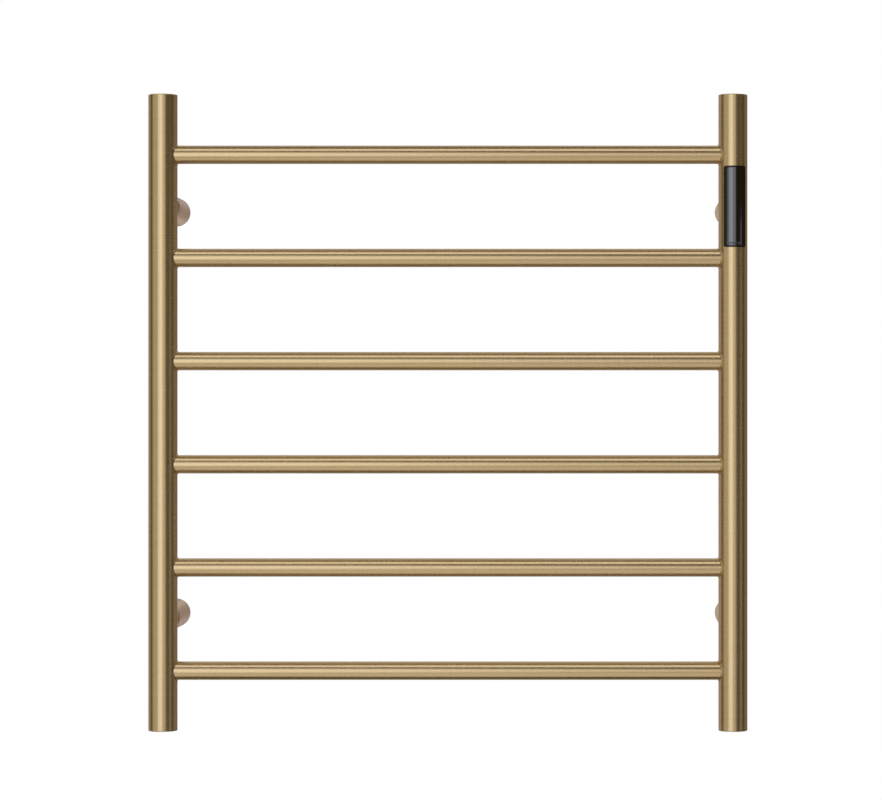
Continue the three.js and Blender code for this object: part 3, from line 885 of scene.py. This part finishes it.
def post_nut(corner, at):
    """The hexagon nut inside a post, with its corners rounded off."""
    node = f"post_nut_{corner}"
    low, high = box_mm(node)
    nut = prism(f"{node}_m6", hexagon((at.x, at.z), 10.0, 30.0), "y", low.y, high.y)
    dome = turned(
        "dome", "y", at,
        [(0, low.y), (5.0, low.y), (6.2, low.y + 0.8), (6.2, high.y - 0.8), (5.0, high.y), (0, high.y)], 48,
    )
    carve(nut, dome, operation="INTERSECT")
    carve(nut, hole("y", at, 3.15, low.y - 1.0, high.y + 1.0, 32))
    smooth(nut)
    return dress(nut, "steel", "rail", "plain_steel", node)


def grub_screw(corner):
    """The grub screw under a sleeve, which locks the base."""
    node = f"grub_screw_{corner}"
    low, high = box_mm(node)
    middle = centre_mm(node)
    grub = threaded(f"{node}_m5", "z", (middle.x, middle.y, 0), 2.5, 0.8, high.z, low.z)
    carve(grub, socket_cut("socket", "z", middle, 2.5, low.z - 1.0, low.z + 2.2))
    smooth(grub)
    return dress(grub, "black_oxide", "rail", "black_oxide_steel", node)


def build_bracket(level, side):
    """One wall bracket: its sleeve, base, screw, nut and grub screw."""
    corner = f"{level}_{side}"
    at = Vector((POST[side].x, 0.0, centre_mm(f"sleeve_{corner}").z))
    bracket_sleeve(corner, POST[side], at)
    bracket_base(corner, at)
    bracket_screw(corner, at)
    post_nut(corner, at)
    grub_screw(corner)


# ---------------------------------------------------------------- the touch control

LENS_THICKNESS = 2.0
RIM_SIDE = 2.7
RIM_END = 1.5
RIM_DROP = 0.45
RIM_CORNER = 1.7
PANEL_GROOVES = (1.5, 3.0)
GASKET_THICKNESS = 0.8


def turned_out(piece):
    """Turns a piece of the control round the post's axis, away from the bars."""
    axis = POST["right"] * MM
    turn = Matrix.Translation(axis) @ Matrix.Rotation(CONTROL_TURN, 4, "Z") @ Matrix.Translation(-axis)
    piece.data.transform(turn)
    return piece


def curved_panel(name, inner, outer, width, height, corner, edge, opening=None, grooves=()):
    """A panel that follows the post's curve. It may have an opening, or grooves across its face."""
    axis = POST["right"]
    z = PANEL_Z
    half_groove, groove_depth = 0.35, 0.18
    profile = [(inner, -height), (outer, -height)]
    for level in grooves:
        profile += [(outer, level - half_groove), (outer - groove_depth, level), (outer, level + half_groove)]
    profile += [(outer, height), (inner, height)]
    body = turned(name, "z", (axis.x, axis.y, z), profile, 256)
    outline = rounded_outline((axis.x, z), width, height, corner)
    tool = prism("outline", outline, "y", axis.y - CLEAR, axis.y - PANEL_CUT_BACK)
    carve(body, tool, operation="INTERSECT")
    if opening:
        hole_outline = rounded_outline((axis.x, z), *opening)
        carve(body, prism("opening", hole_outline, "y", axis.y - CLEAR, axis.y))
    if edge:
        soften_edges(body, edge, angle=50.0)
    return turned_out(true_round(body, "z", axis, (inner, outer), angle=50.0))


def touch_panel():
    """The glossy panel, its rim and the seal behind them."""
    width, height = PANEL_HIGH.x - PANEL_LOW.x, PANEL_HIGH.z - PANEL_LOW.z
    back = POST_RADIUS - LENS_THICKNESS
    inside = (width - 2 * RIM_SIDE, height - 2 * RIM_END, 1.5)
    grooves = [level - inside[1] / 2 for level in PANEL_GROOVES]
    lens = curved_panel("control_panel_lens", back, POST_RADIUS, *inside, 0.4, grooves=grooves)
    dress(lens, "panel_glass", "rail", "black_panel", "control_lens")
    rim_front = POST_RADIUS - RIM_DROP
    rim = curved_panel("control_panel_rim", back, rim_front, width, height, RIM_CORNER, 0.3, opening=inside)
    dress(rim, "panel_rim", "rail", "black_plastic")
    seal_front = back - 0.3
    gasket = curved_panel(
        "control_panel_gasket", seal_front - GASKET_THICKNESS, seal_front, width - 0.6, height - 0.6,
        RIM_CORNER, 0.0, opening=(width - 6.0, height - 6.0, RIM_CORNER),
    )
    dress(gasket, "rubber", "rail", "black_rubber", "lens_gasket")


def block_piece(name, low, high, edge):
    """A box with softened edges, between two corners in millimetres."""
    outline = [(low[0], low[1]), (high[0], low[1]), (high[0], high[1]), (low[0], high[1])]
    return smooth(soften_edges(prism(name, outline, "z", low[2], high[2]), edge))


def touch_spring(node):
    """A coil of wire between the board and the panel, with a flat pad at the front."""
    low, high = control_box_mm(node)
    centre = (low + high) / 2
    wire, turns, per_turn = 0.3, 5, 20
    radius = (high.x - low.x) / 2 - wire
    length = high.y - low.y - 1.0
    fall = -length / (2 * math.pi * turns)
    route = []
    for i in range(turns * per_turn + 1):
        angle = 2 * math.pi * i / per_turn
        y = high.y - wire - length * i / (turns * per_turn)
        point = Vector((centre.x + radius * math.cos(angle), y, centre.z + radius * math.sin(angle)))
        heading = Vector((-radius * math.sin(angle), fall, radius * math.cos(angle)))
        route.append((point, heading.normalized()))
    spring = swept(f"{node}_coil", route, circle(wire, 8))
    face, back = low.y, low.y + 0.7
    pad = turned(
        "pad", "y", (centre.x, 0, centre.z),
        [(0, face), (radius + wire, face, 0.15), (radius + wire, back, 0.15), (0, back)], 32,
    )
    joined(spring, pad)
    smooth(turned_out(spring))
    return dress(spring, "tinned_copper", "rail", "tinned_copper", node)


def joined(first, *others):
    """Joins meshes into the first one."""
    shape = bmesh.new()
    for part in (first, *others):
        shape.from_mesh(part.data)
    shape.to_mesh(first.data)
    shape.free()
    for part in others:
        bpy.data.objects.remove(part, do_unlink=True)
    return first


def terminal_screw(name, x, z, rear):
    """A slotted screw sunk into the back of a terminal block."""
    radius, top = 1.75, rear - 0.7
    head = turned(
        name, "y", (x, 0, z),
        [(0, rear - 1.5), (radius, rear - 1.5), (radius, top, 0.25), (0, top)], 32,
    )
    outline = [(x - 2, rear - 1.2), (x + 2, rear - 1.2), (x + 2, rear), (x - 2, rear)]
    carve(head, prism("slot", outline, "z", z - 0.25, z + 0.25))
    smooth(turned_out(head))
    return dress(head, "steel", "rail", "plain_steel")


def screw_terminal(node, ways):
    """A terminal block with a screw and a wire entry for each way."""
    low, high = control_box_mm(node)
    block = block_piece(f"{node}_block", low, high, 0.35)
    pitch = (high.x - low.x) / ways
    up = 1 if node == "heater_terminal" else -1
    mouth = high.z if up > 0 else low.z
    z = (low.z + high.z) / 2
    wire_y = (low.y + high.y) / 2 - 0.5
    ways_x = [low.x + pitch * (way + 0.5) for way in range(ways)]
    tools = []
    for x in ways_x:
        tools.append(hole("y", (x, 0, z), 1.9, high.y - 1.6, high.y + 1, 24))
        tools.append(hole("z", (x, wire_y, 0), 1.5, mouth - up * 3.0, mouth + up * 1.0, 24))
    carve(block, *tools)
    smooth(turned_out(block))
    dress(block, "white_plastic", "rail", "white_plastic", node)
    for number, x in enumerate(ways_x, 1):
        terminal_screw(f"{node}_screw_{number}", x, z, high.y)


def board_screw(node):
    """A pan-head screw with a cross recess."""
    low, high = control_box_mm(node)
    at = ((low.x + high.x) / 2, 0, (low.z + high.z) / 2)
    seat = high.y - 1.3
    head = [(1.0, seat), (1.9, seat, 0.1), (1.9, high.y - 0.5, 0.4), (1.0, high.y, 0.2), (0, high.y)]
    screw = threaded(f"{node}_pan_head", "y", at, 1.0, 0.5, low.y, seat, head, 24)
    cross_recess(screw, at, high.y, 0.7, 0.9, 0.2)
    smooth(turned_out(screw))
    return dress(screw, "steel", "rail", "plain_steel", node)


def led_display():
    """The lit display behind the panel: a white case with a dark face and a row of milky windows."""
    low, high = control_box_mm("led_display")
    case = turned_out(block_piece("led_display_case", (low.x, low.y + 0.4, low.z), high, 0.3))
    dress(case, "white_plastic", "rail", "white_plastic", "led_display")
    start = (low.x + 0.4, low.y + 0.15, low.z + 0.4)
    end = (high.x - 0.4, low.y + 0.6, high.z - 0.4)
    face = turned_out(block_piece("led_display_face", start, end, 0.12))
    dress(face, "black_plastic", "rail", "black_plastic")
    windows = []
    count = 5
    for i in range(count):
        z = low.z + (high.z - low.z) * (i + 0.5) / count
        outline = rounded_outline(((low.x + high.x) / 2, z), 6.4, 1.8, 0.7)
        windows.append(prism(f"led_window_{i}", outline, "y", low.y, low.y + 0.4))
    row = turned_out(joined(*windows))
    row.name = "led_display_windows"
    smooth(row)
    return dress(row, "diffuser", "rail", "white_plastic")


def board_components():
    """The board's small parts: a controller and chip resistors at the front, a capacitor at the back."""
    low, high = control_box_mm("control_board")
    x = POST["right"].x
    front, back = low.y, high.y
    start, end = (x - 2.6, front - 1.1, PANEL_Z - 4.8), (x + 2.6, front - 0.05, PANEL_Z + 0.4)
    chip = block_piece("controller", start, end, 0.15)
    dress(turned_out(chip), "black_plastic", "rail", "black_plastic")
    resistors = []
    for i in range(12):
        across, up = x - 4.5 + 3.0 * (i % 4), PANEL_Z + 29.0 + 2.8 * (i // 4)
        start, end = (across - 1.0, front - 0.65, up - 0.6), (across + 1.0, front - 0.05, up + 0.6)
        resistors.append(block_piece(f"chip_resistor_{i}", start, end, 0.12))
    dress(turned_out(joined(*resistors)), "ceramic", "rail", "white_plastic")
    radius, foot, top = 2.9, PANEL_Z + 6.0, PANEL_Z + 18.0
    profile = [(0, foot), (radius, foot, 0.5), (radius, top, 0.4), (0, top)]
    capacitor = smooth(turned("capacitor", "z", (x, back + 3.1, 0), profile, 48))
    dress(turned_out(capacitor), "black_plastic", "rail", "black_plastic")


def power_parts():
    """The relay on the board, and the thermal cutout below it in the post."""
    relay = turned_out(block_piece("relay_case", *control_box_mm("relay"), 0.5))
    dress(relay, "blue_plastic", "rail", "blue_plastic", "relay")
    cutout = block_piece("thermal_cutout_case", *box_mm("thermal_cutout"), 0.9)
    dress(cutout, "white_plastic", "rail", "white_plastic", "thermal_cutout")


# ---------------------------------------------------------------- wiring

HEATER_RADIUS = 2.25
HEATER_BEND = 8.0
LEAD_RADIUS = 1.4
LEAD_BEND = 6.0
SUPPLY_RADIUS = 2.6
SUPPLY_BEND = 5.0
EARTH_RADIUS = 0.9
EARTH_BEND = 2.0
END_GAP = 0.3


def cable(name, finish, slot, corners, radius, bend, *nodes):
    """A cable or lead along straight runs joined by round bends."""
    piece = swept(name, bent_route(corners, bend), circle(radius))
    smooth(piece)
    return dress(piece, finish, "rail", slot, *nodes)


def heating_cable():
    """The heating cable, which runs down through the bars one after another."""
    y = POST["right"].y
    corners = [(POST["right"].x, y + 3.8, box_mm("heater_terminal")[1].z + 2 * END_GAP)]
    for i, bar in enumerate(BARS):
        z = centre_mm(bar).z
        ends = ("right", "left") if i % 2 == 0 else ("left", "right")
        corners += [(POST[side].x, y, z) for side in ends]
    corners[-1] = (box_mm("crimp_splice")[0].x - END_GAP, y, centre_mm(BARS[-1]).z)
    return cable(
        "heating_cable_run", "silicone", "red_silicone", corners, HEATER_RADIUS, HEATER_BEND, "heating_cable",
    )


def return_lead():
    """The plain lead from the crimp up to the thermal cutout, and on to the board."""
    y, x = POST["right"].y + 4.4, POST["right"].x - 6.5
    z = centre_mm(BARS[-1]).z
    corners = [
        (box_mm("crimp_splice")[1].x + END_GAP, POST["right"].y, z),
        (x, y, z),
        (x, y, box_mm("thermal_cutout")[0].z - END_GAP),
    ]
    cable("return_lead_run", "silicone", "red_silicone", corners, LEAD_RADIUS, LEAD_BEND, "return_lead")
    low, high = box_mm("cutout_lead")
    corners = [(x, y, low.z), (x, y, high.z)]
    cable("cutout_lead_run", "silicone", "red_silicone", corners, LEAD_RADIUS, LEAD_BEND, "cutout_lead")


def supply_lead():
    """The mains lead, from the mouth of the grommet up one side of the post to its terminal."""
    post = POST["right"]
    high = box_mm("supply_lead")[1]
    aside, behind = post.x + 6.3, post.y + 3.5
    corners = [
        (post.x, high.y, GLAND.z),
        (post.x, post.y + 5.0, GLAND.z),
        (aside, behind, GLAND.z + 14.0),
        (aside, behind, high.z),
    ]
    cable("supply_lead_run", "grey_sheath", "grey_sheath", corners, SUPPLY_RADIUS, SUPPLY_BEND, "supply_lead")


def earth_lead():
    """The earth core, from the ring terminal up the front of the post's bore."""
    x = POST["right"].x
    low, high = box_mm("earth_lead")
    back, front = high.y - EARTH_RADIUS, low.y + EARTH_RADIUS
    corners = [(x, back, low.z), (x, back, low.z + 5.5), (x, front, low.z + 10.0), (x, front, high.z)]
    cable("earth_lead_run", "earth_sheath", "earth_sheath", corners, EARTH_RADIUS, EARTH_BEND, "earth_lead")


def crimp_splice():
    """A crimped sleeve with two pressed waists."""
    low, high = box_mm("crimp_splice")
    centre = centre_mm("crimp_splice")
    end, full, pressed = 3.0, 3.2, 2.5
    profile = [(0, low.x), (end, low.x, 0.3)]
    for waist in (low.x + 5.5, high.x - 5.5):
        for radius, along in ((full, -2.2), (pressed, -0.9), (pressed, 0.9), (full, 2.2)):
            profile.append((radius, waist + along, 0.6))
    profile += [(end, high.x, 0.3), (0, high.x)]
    splice = turned("crimp_splice_sleeve", "x", (0, centre.y, centre.z), profile, 48)
    smooth(splice, 45.0)
    return dress(splice, "tinned_copper", "rail", "tinned_copper", "crimp_splice")


def grommet():
    """The rubber grommet round the lead's way out: a flange saddled to the post, a neck and an inner lip."""
    post = POST["right"]
    mouth = box_mm("cable_grommet")[1].y
    at = (post.x, 0, GLAND.z)
    bore, neck_radius = 2.9, 5.2
    start = post.y + 9.5
    low, high = GLAND.z - CLEAR, GLAND.z + CLEAR
    outside = turned(
        "outside", "y", at,
        [
            (bore, start), (neck_radius, start), (neck_radius, post.y + 13.0), (7.5, post.y + 13.0),
            (7.5, mouth - 0.8, 0.3), (5.6, mouth, 0.9), (bore, mouth, 0.3),
        ], 64,
    )
    carve(outside, hole("z", (post.x, post.y, 0), POST_RADIUS + 0.05, low, high, 128))
    neck = turned(
        "neck", "y", at,
        [
            (bore, start), (7.2, start, 0.5), (7.2, post.y + 12.0), (neck_radius, post.y + 12.0),
            (neck_radius, post.y + 15.6), (bore, post.y + 15.6),
        ], 64,
    )
    carve(neck, hole("z", (post.x, post.y, 0), POST_RADIUS + 0.4, low, high, 128), operation="INTERSECT")
    piece = joined(outside, neck)
    piece.name = "cable_grommet_rubber"
    smooth(piece)
    return dress(piece, "rubber", "rail", "black_rubber", "cable_grommet")


def earth_screw():
    """The earth screw, with a cross recess in its head."""
    post = POST["right"]
    low, high = box_mm("earth_screw")
    at = (post.x, 0, EARTH.z)
    seat = post.y + POST_RADIUS + 0.1
    head = [(2.0, seat), (3.6, seat, 0.15), (3.6, high.y - 1.2, 0.5), (2.2, high.y, 0.5), (0, high.y)]
    screw = threaded("earth_screw_m4", "y", at, 2.0, 0.7, low.y, seat, head, 32)
    cross_recess(screw, at, high.y, 1.2, 1.8, 0.42)
    smooth(screw)
    return dress(screw, "steel", "rail", "plain_steel", "earth_screw")


# ---------------------------------------------------------------- operators


class TOWELRAIL_OT_posts(bpy.types.Operator):
    """Build the two posts and their caps"""

    bl_idname = "towel_rail.posts"
    bl_label = "Posts and caps"

    def execute(self, context):
        for side in SIDES:
            post_tube(side)
            for end in ("top", "bottom"):
                post_cap(side, end)
        return {"FINISHED"}


class TOWELRAIL_OT_bars(bpy.types.Operator):
    """Build the bars and the welds at their ends"""

    bl_idname = "towel_rail.bars"
    bl_label = "Bars and welds"

    def execute(self, context):
        for bar in BARS:
            bar_tube(bar)
            for side in SIDES:
                weld_bead(bar, side)
        return {"FINISHED"}


class TOWELRAIL_OT_brackets(bpy.types.Operator):
    """Build the four wall brackets with their screws and nuts"""

    bl_idname = "towel_rail.brackets"
    bl_label = "Wall brackets"

    def execute(self, context):
        for level, side in CORNERS:
            build_bracket(level, side)
        return {"FINISHED"}


class TOWELRAIL_OT_control(bpy.types.Operator):
    """Build the touch control behind its window in the right post"""

    bl_idname = "towel_rail.control"
    bl_label = "Touch control"

    def execute(self, context):
        touch_panel()
        for i in (1, 2, 3):
            touch_spring(f"touch_spring_{i}")
        for end in ("top", "bottom"):
            board_screw(f"board_screw_{end}")
        screw_terminal("heater_terminal", 2)
        screw_terminal("supply_terminal", 3)
        led_display()
        board_components()
        power_parts()
        return {"FINISHED"}


class TOWELRAIL_OT_wiring(bpy.types.Operator):
    """Build the heating cable, the leads, the grommet and the earth screw"""

    bl_idname = "towel_rail.wiring"
    bl_label = "Wiring"

    def execute(self, context):
        heating_cable()
        return_lead()
        supply_lead()
        earth_lead()
        crimp_splice()
        grommet()
        earth_screw()
        return {"FINISHED"}


CAD_FINISHES = {
    "control_carrier": "black_plastic",
    "control_board": "board",
    "temperature_sensor": "black_plastic",
    "earth_lug": "tinned_copper",
    "earth_nut": "steel",
}


class TOWELRAIL_OT_inner_parts(bpy.types.Operator):
    """Give the CAD parts that are shown as they are their materials"""

    bl_idname = "towel_rail.inner_parts"
    bl_label = "Inner parts"

    def execute(self, context):
        for node, finish in CAD_FINISHES.items():
            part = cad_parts[node]
            part.data.materials.clear()
            part.data.materials.append(material(finish))
        return {"FINISHED"}


# ---------------------------------------------------------------- the stage

# Each lamp: name, the way to its middle (degrees to the right of the camera and up), its width and height
# in degrees, its brightness and its colour.
LAMPS = (
    ("front", -4.5, -20, 63, 78, 0.44, (0.97, 0.98, 1.0)),
    ("front_middle", 0, 4, 34, 22, 0.27, (1.0, 0.99, 0.98)),
    ("key", -19, 4, 34, 56, 0.74, (0.79, 0.88, 1.0)),
    ("side_fill", -59, 0, 42, 80, 0.43, (0.98, 1.0, 0.86)),
    ("overhead", 0, 61, 100, 26, 1.14, (0.95, 0.97, 1.0)),
    ("behind_top", 0, 122, 100, 40, 0.36, (1.0, 0.95, 0.90)),
    ("low_strip", 66, -18, 16, 46, 0.26, (0.80, 0.92, 1.0)),
    ("right_fill", 118, 0, 30, 80, 0.20, (1.0, 0.90, 0.78)),
    ("back_left", -132, 0, 50, 70, 0.34, (1.0, 0.88, 0.80)),
    ("behind_left", -170, 0, 26, 30, 0.38, (1.0, 0.91, 0.91)),
    ("behind_right", 163, 0, 40, 30, 0.24, (1.0, 0.84, 0.78)),
    ("behind_high", 180, 34, 90, 24, 0.48, (0.97, 0.98, 1.0)),
    ("behind_low", 180, -40, 90, 46, 0.27, (0.97, 0.98, 1.0)),
)
LAMP_DISTANCE = 6.0


def direction(azimuth, elevation):
    """The way from the rail at an angle to the right of the camera, and up."""
    a, e = math.radians(azimuth), math.radians(elevation)
    return Vector((math.sin(a) * math.cos(e), -math.cos(a) * math.cos(e), math.sin(e)))


def add_lamp(name, azimuth, elevation, width, height, brightness, colour):
    """A soft rectangular lamp that faces the rail."""
    data = bpy.data.lights.new(name, "AREA")
    data.shape = "RECTANGLE"
    data.size = 2 * LAMP_DISTANCE * math.tan(math.radians(width / 2))
    data.size_y = 2 * LAMP_DISTANCE * math.tan(math.radians(height / 2))
    strength = bpy.context.scene.towel_rail_stage.light * brightness
    data.energy = strength * math.pi * data.size * data.size_y
    data.color = colour
    lamp = bpy.data.objects.new(name, data)
    bpy.context.scene.collection.objects.link(lamp)
    away = direction(azimuth, elevation)
    lamp.location = away * LAMP_DISTANCE
    lamp.rotation_euler = away.to_track_quat("Z", "Y").to_euler()
    lamp.visible_camera = False


def add_floor():
    """A plain pale disc in front of the wall, below the rail."""
    drop = bpy.context.scene.towel_rail_stage.floor_drop / MM
    radius, thickness, ahead = 800.0, 20.0, 200.0
    profile = [(0, -drop), (radius, -drop, 6.0), (radius, -drop - thickness), (0, -drop - thickness)]
    floor = turned("floor", "z", (0, POST["left"].y - radius - ahead, 0), profile)
    shader = Shader("pale_floor")
    grain = shader.noise((40.0, 40.0, 40.0), detail=3.0)
    colour = shader.mix(grain, (0.80, 0.79, 0.77), (0.84, 0.83, 0.81))
    finish = shader.finish(
        Base_Color=colour, Roughness=0.75, Emission_Color=(1.0, 0.99, 0.97, 1.0), Emission_Strength=0.33,
    )
    floor.data.materials.append(finish)
    smooth(floor)


def set_world():
    """White to the camera, and a dim warm surround to everything else."""
    world = bpy.data.worlds.new("studio")
    bpy.context.scene.world = world
    world.use_nodes = True
    nodes, links = world.node_tree.nodes, world.node_tree.links
    nodes.clear()
    seen = nodes.new("ShaderNodeBackground")
    dim = nodes.new("ShaderNodeBackground")
    mix = nodes.new("ShaderNodeMixShader")
    path = nodes.new("ShaderNodeLightPath")
    out = nodes.new("ShaderNodeOutputWorld")
    seen.inputs["Color"].default_value = (1.0, 1.0, 1.0, 1.0)
    dim.inputs["Color"].default_value = (0.052, 0.034, 0.012, 1.0)
    links.new(path.outputs["Is Camera Ray"], mix.inputs[0])
    links.new(dim.outputs[0], mix.inputs[1])
    links.new(seen.outputs[0], mix.inputs[2])
    links.new(mix.outputs[0], out.inputs["Surface"])


# What the camera sees across at the posts, its place beside and above the rail's middle, and its shift.
VIEW_WIDTH = 0.913
CAMERA_ASIDE = 0.157
CAMERA_UP = 0.0065
CAMERA_SHIFT = (-0.1798, 0.0073)


def add_camera():
    """A long lens square to the rail and to the right of its middle. The shift brings the rail back."""
    distance = bpy.context.scene.towel_rail_stage.camera_distance
    data = bpy.data.cameras.new("camera")
    data.sensor_width = 36.0
    data.lens = data.sensor_width * distance / VIEW_WIDTH
    data.shift_x, data.shift_y = CAMERA_SHIFT
    data.dof.use_dof = False
    data.clip_end = 50.0
    camera = bpy.data.objects.new("camera", data)
    bpy.context.scene.collection.objects.link(camera)
    camera.location = (CAMERA_ASIDE, POST["left"].y * MM - distance, CAMERA_UP)
    camera.rotation_euler = (math.pi / 2, 0, 0)
    bpy.context.scene.camera = camera


class TOWELRAIL_OT_stage(bpy.types.Operator):
    """Set up the floor, the lamps, the surround and the camera"""

    bl_idname = "towel_rail.stage"
    bl_label = "Stage"

    def execute(self, context):
        add_floor()
        for lamp in LAMPS:
            add_lamp(*lamp)
        set_world()
        add_camera()
        context.scene.view_settings.view_transform = "Standard"
        return {"FINISHED"}


class TOWELRAIL_PT_panel(bpy.types.Panel):
    """The towel rail's pieces, sizes and finishes"""

    bl_idname = "TOWELRAIL_PT_panel"
    bl_label = "Electric Towel Rail"
    bl_space_type = "VIEW_3D"
    bl_region_type = "UI"
    bl_category = "Towel Rail"

    def draw(self, context):
        for operator in OPERATORS:
            self.layout.operator(operator.bl_idname)
        scene = context.scene
        for group in (scene.towel_rail_finish, scene.towel_rail_sizes, scene.towel_rail_stage):
            column = self.layout.column()
            for name in group.__annotations__:
                column.prop(group, name)


OPERATORS = (
    TOWELRAIL_OT_posts, TOWELRAIL_OT_bars, TOWELRAIL_OT_brackets, TOWELRAIL_OT_control, TOWELRAIL_OT_wiring,
    TOWELRAIL_OT_inner_parts, TOWELRAIL_OT_stage,
)
CLASSES = (TowelRailFinish, TowelRailSizes, TowelRailStage, *OPERATORS, TOWELRAIL_PT_panel)


def register():
    for item in CLASSES:
        bpy.utils.register_class(item)
    bpy.types.Scene.towel_rail_finish = bpy.props.PointerProperty(type=TowelRailFinish)
    bpy.types.Scene.towel_rail_sizes = bpy.props.PointerProperty(type=TowelRailSizes)
    bpy.types.Scene.towel_rail_stage = bpy.props.PointerProperty(type=TowelRailStage)


def unregister():
    del bpy.types.Scene.towel_rail_stage
    del bpy.types.Scene.towel_rail_sizes
    del bpy.types.Scene.towel_rail_finish
    for item in reversed(CLASSES):
        bpy.utils.unregister_class(item)


def main():
    register()
    bpy.ops.towel_rail.posts()
    bpy.ops.towel_rail.bars()
    bpy.ops.towel_rail.brackets()
    bpy.ops.towel_rail.control()
    bpy.ops.towel_rail.wiring()
    bpy.ops.towel_rail.inner_parts()
    bpy.ops.towel_rail.stage()


if __name__ == "__main__":
    main()
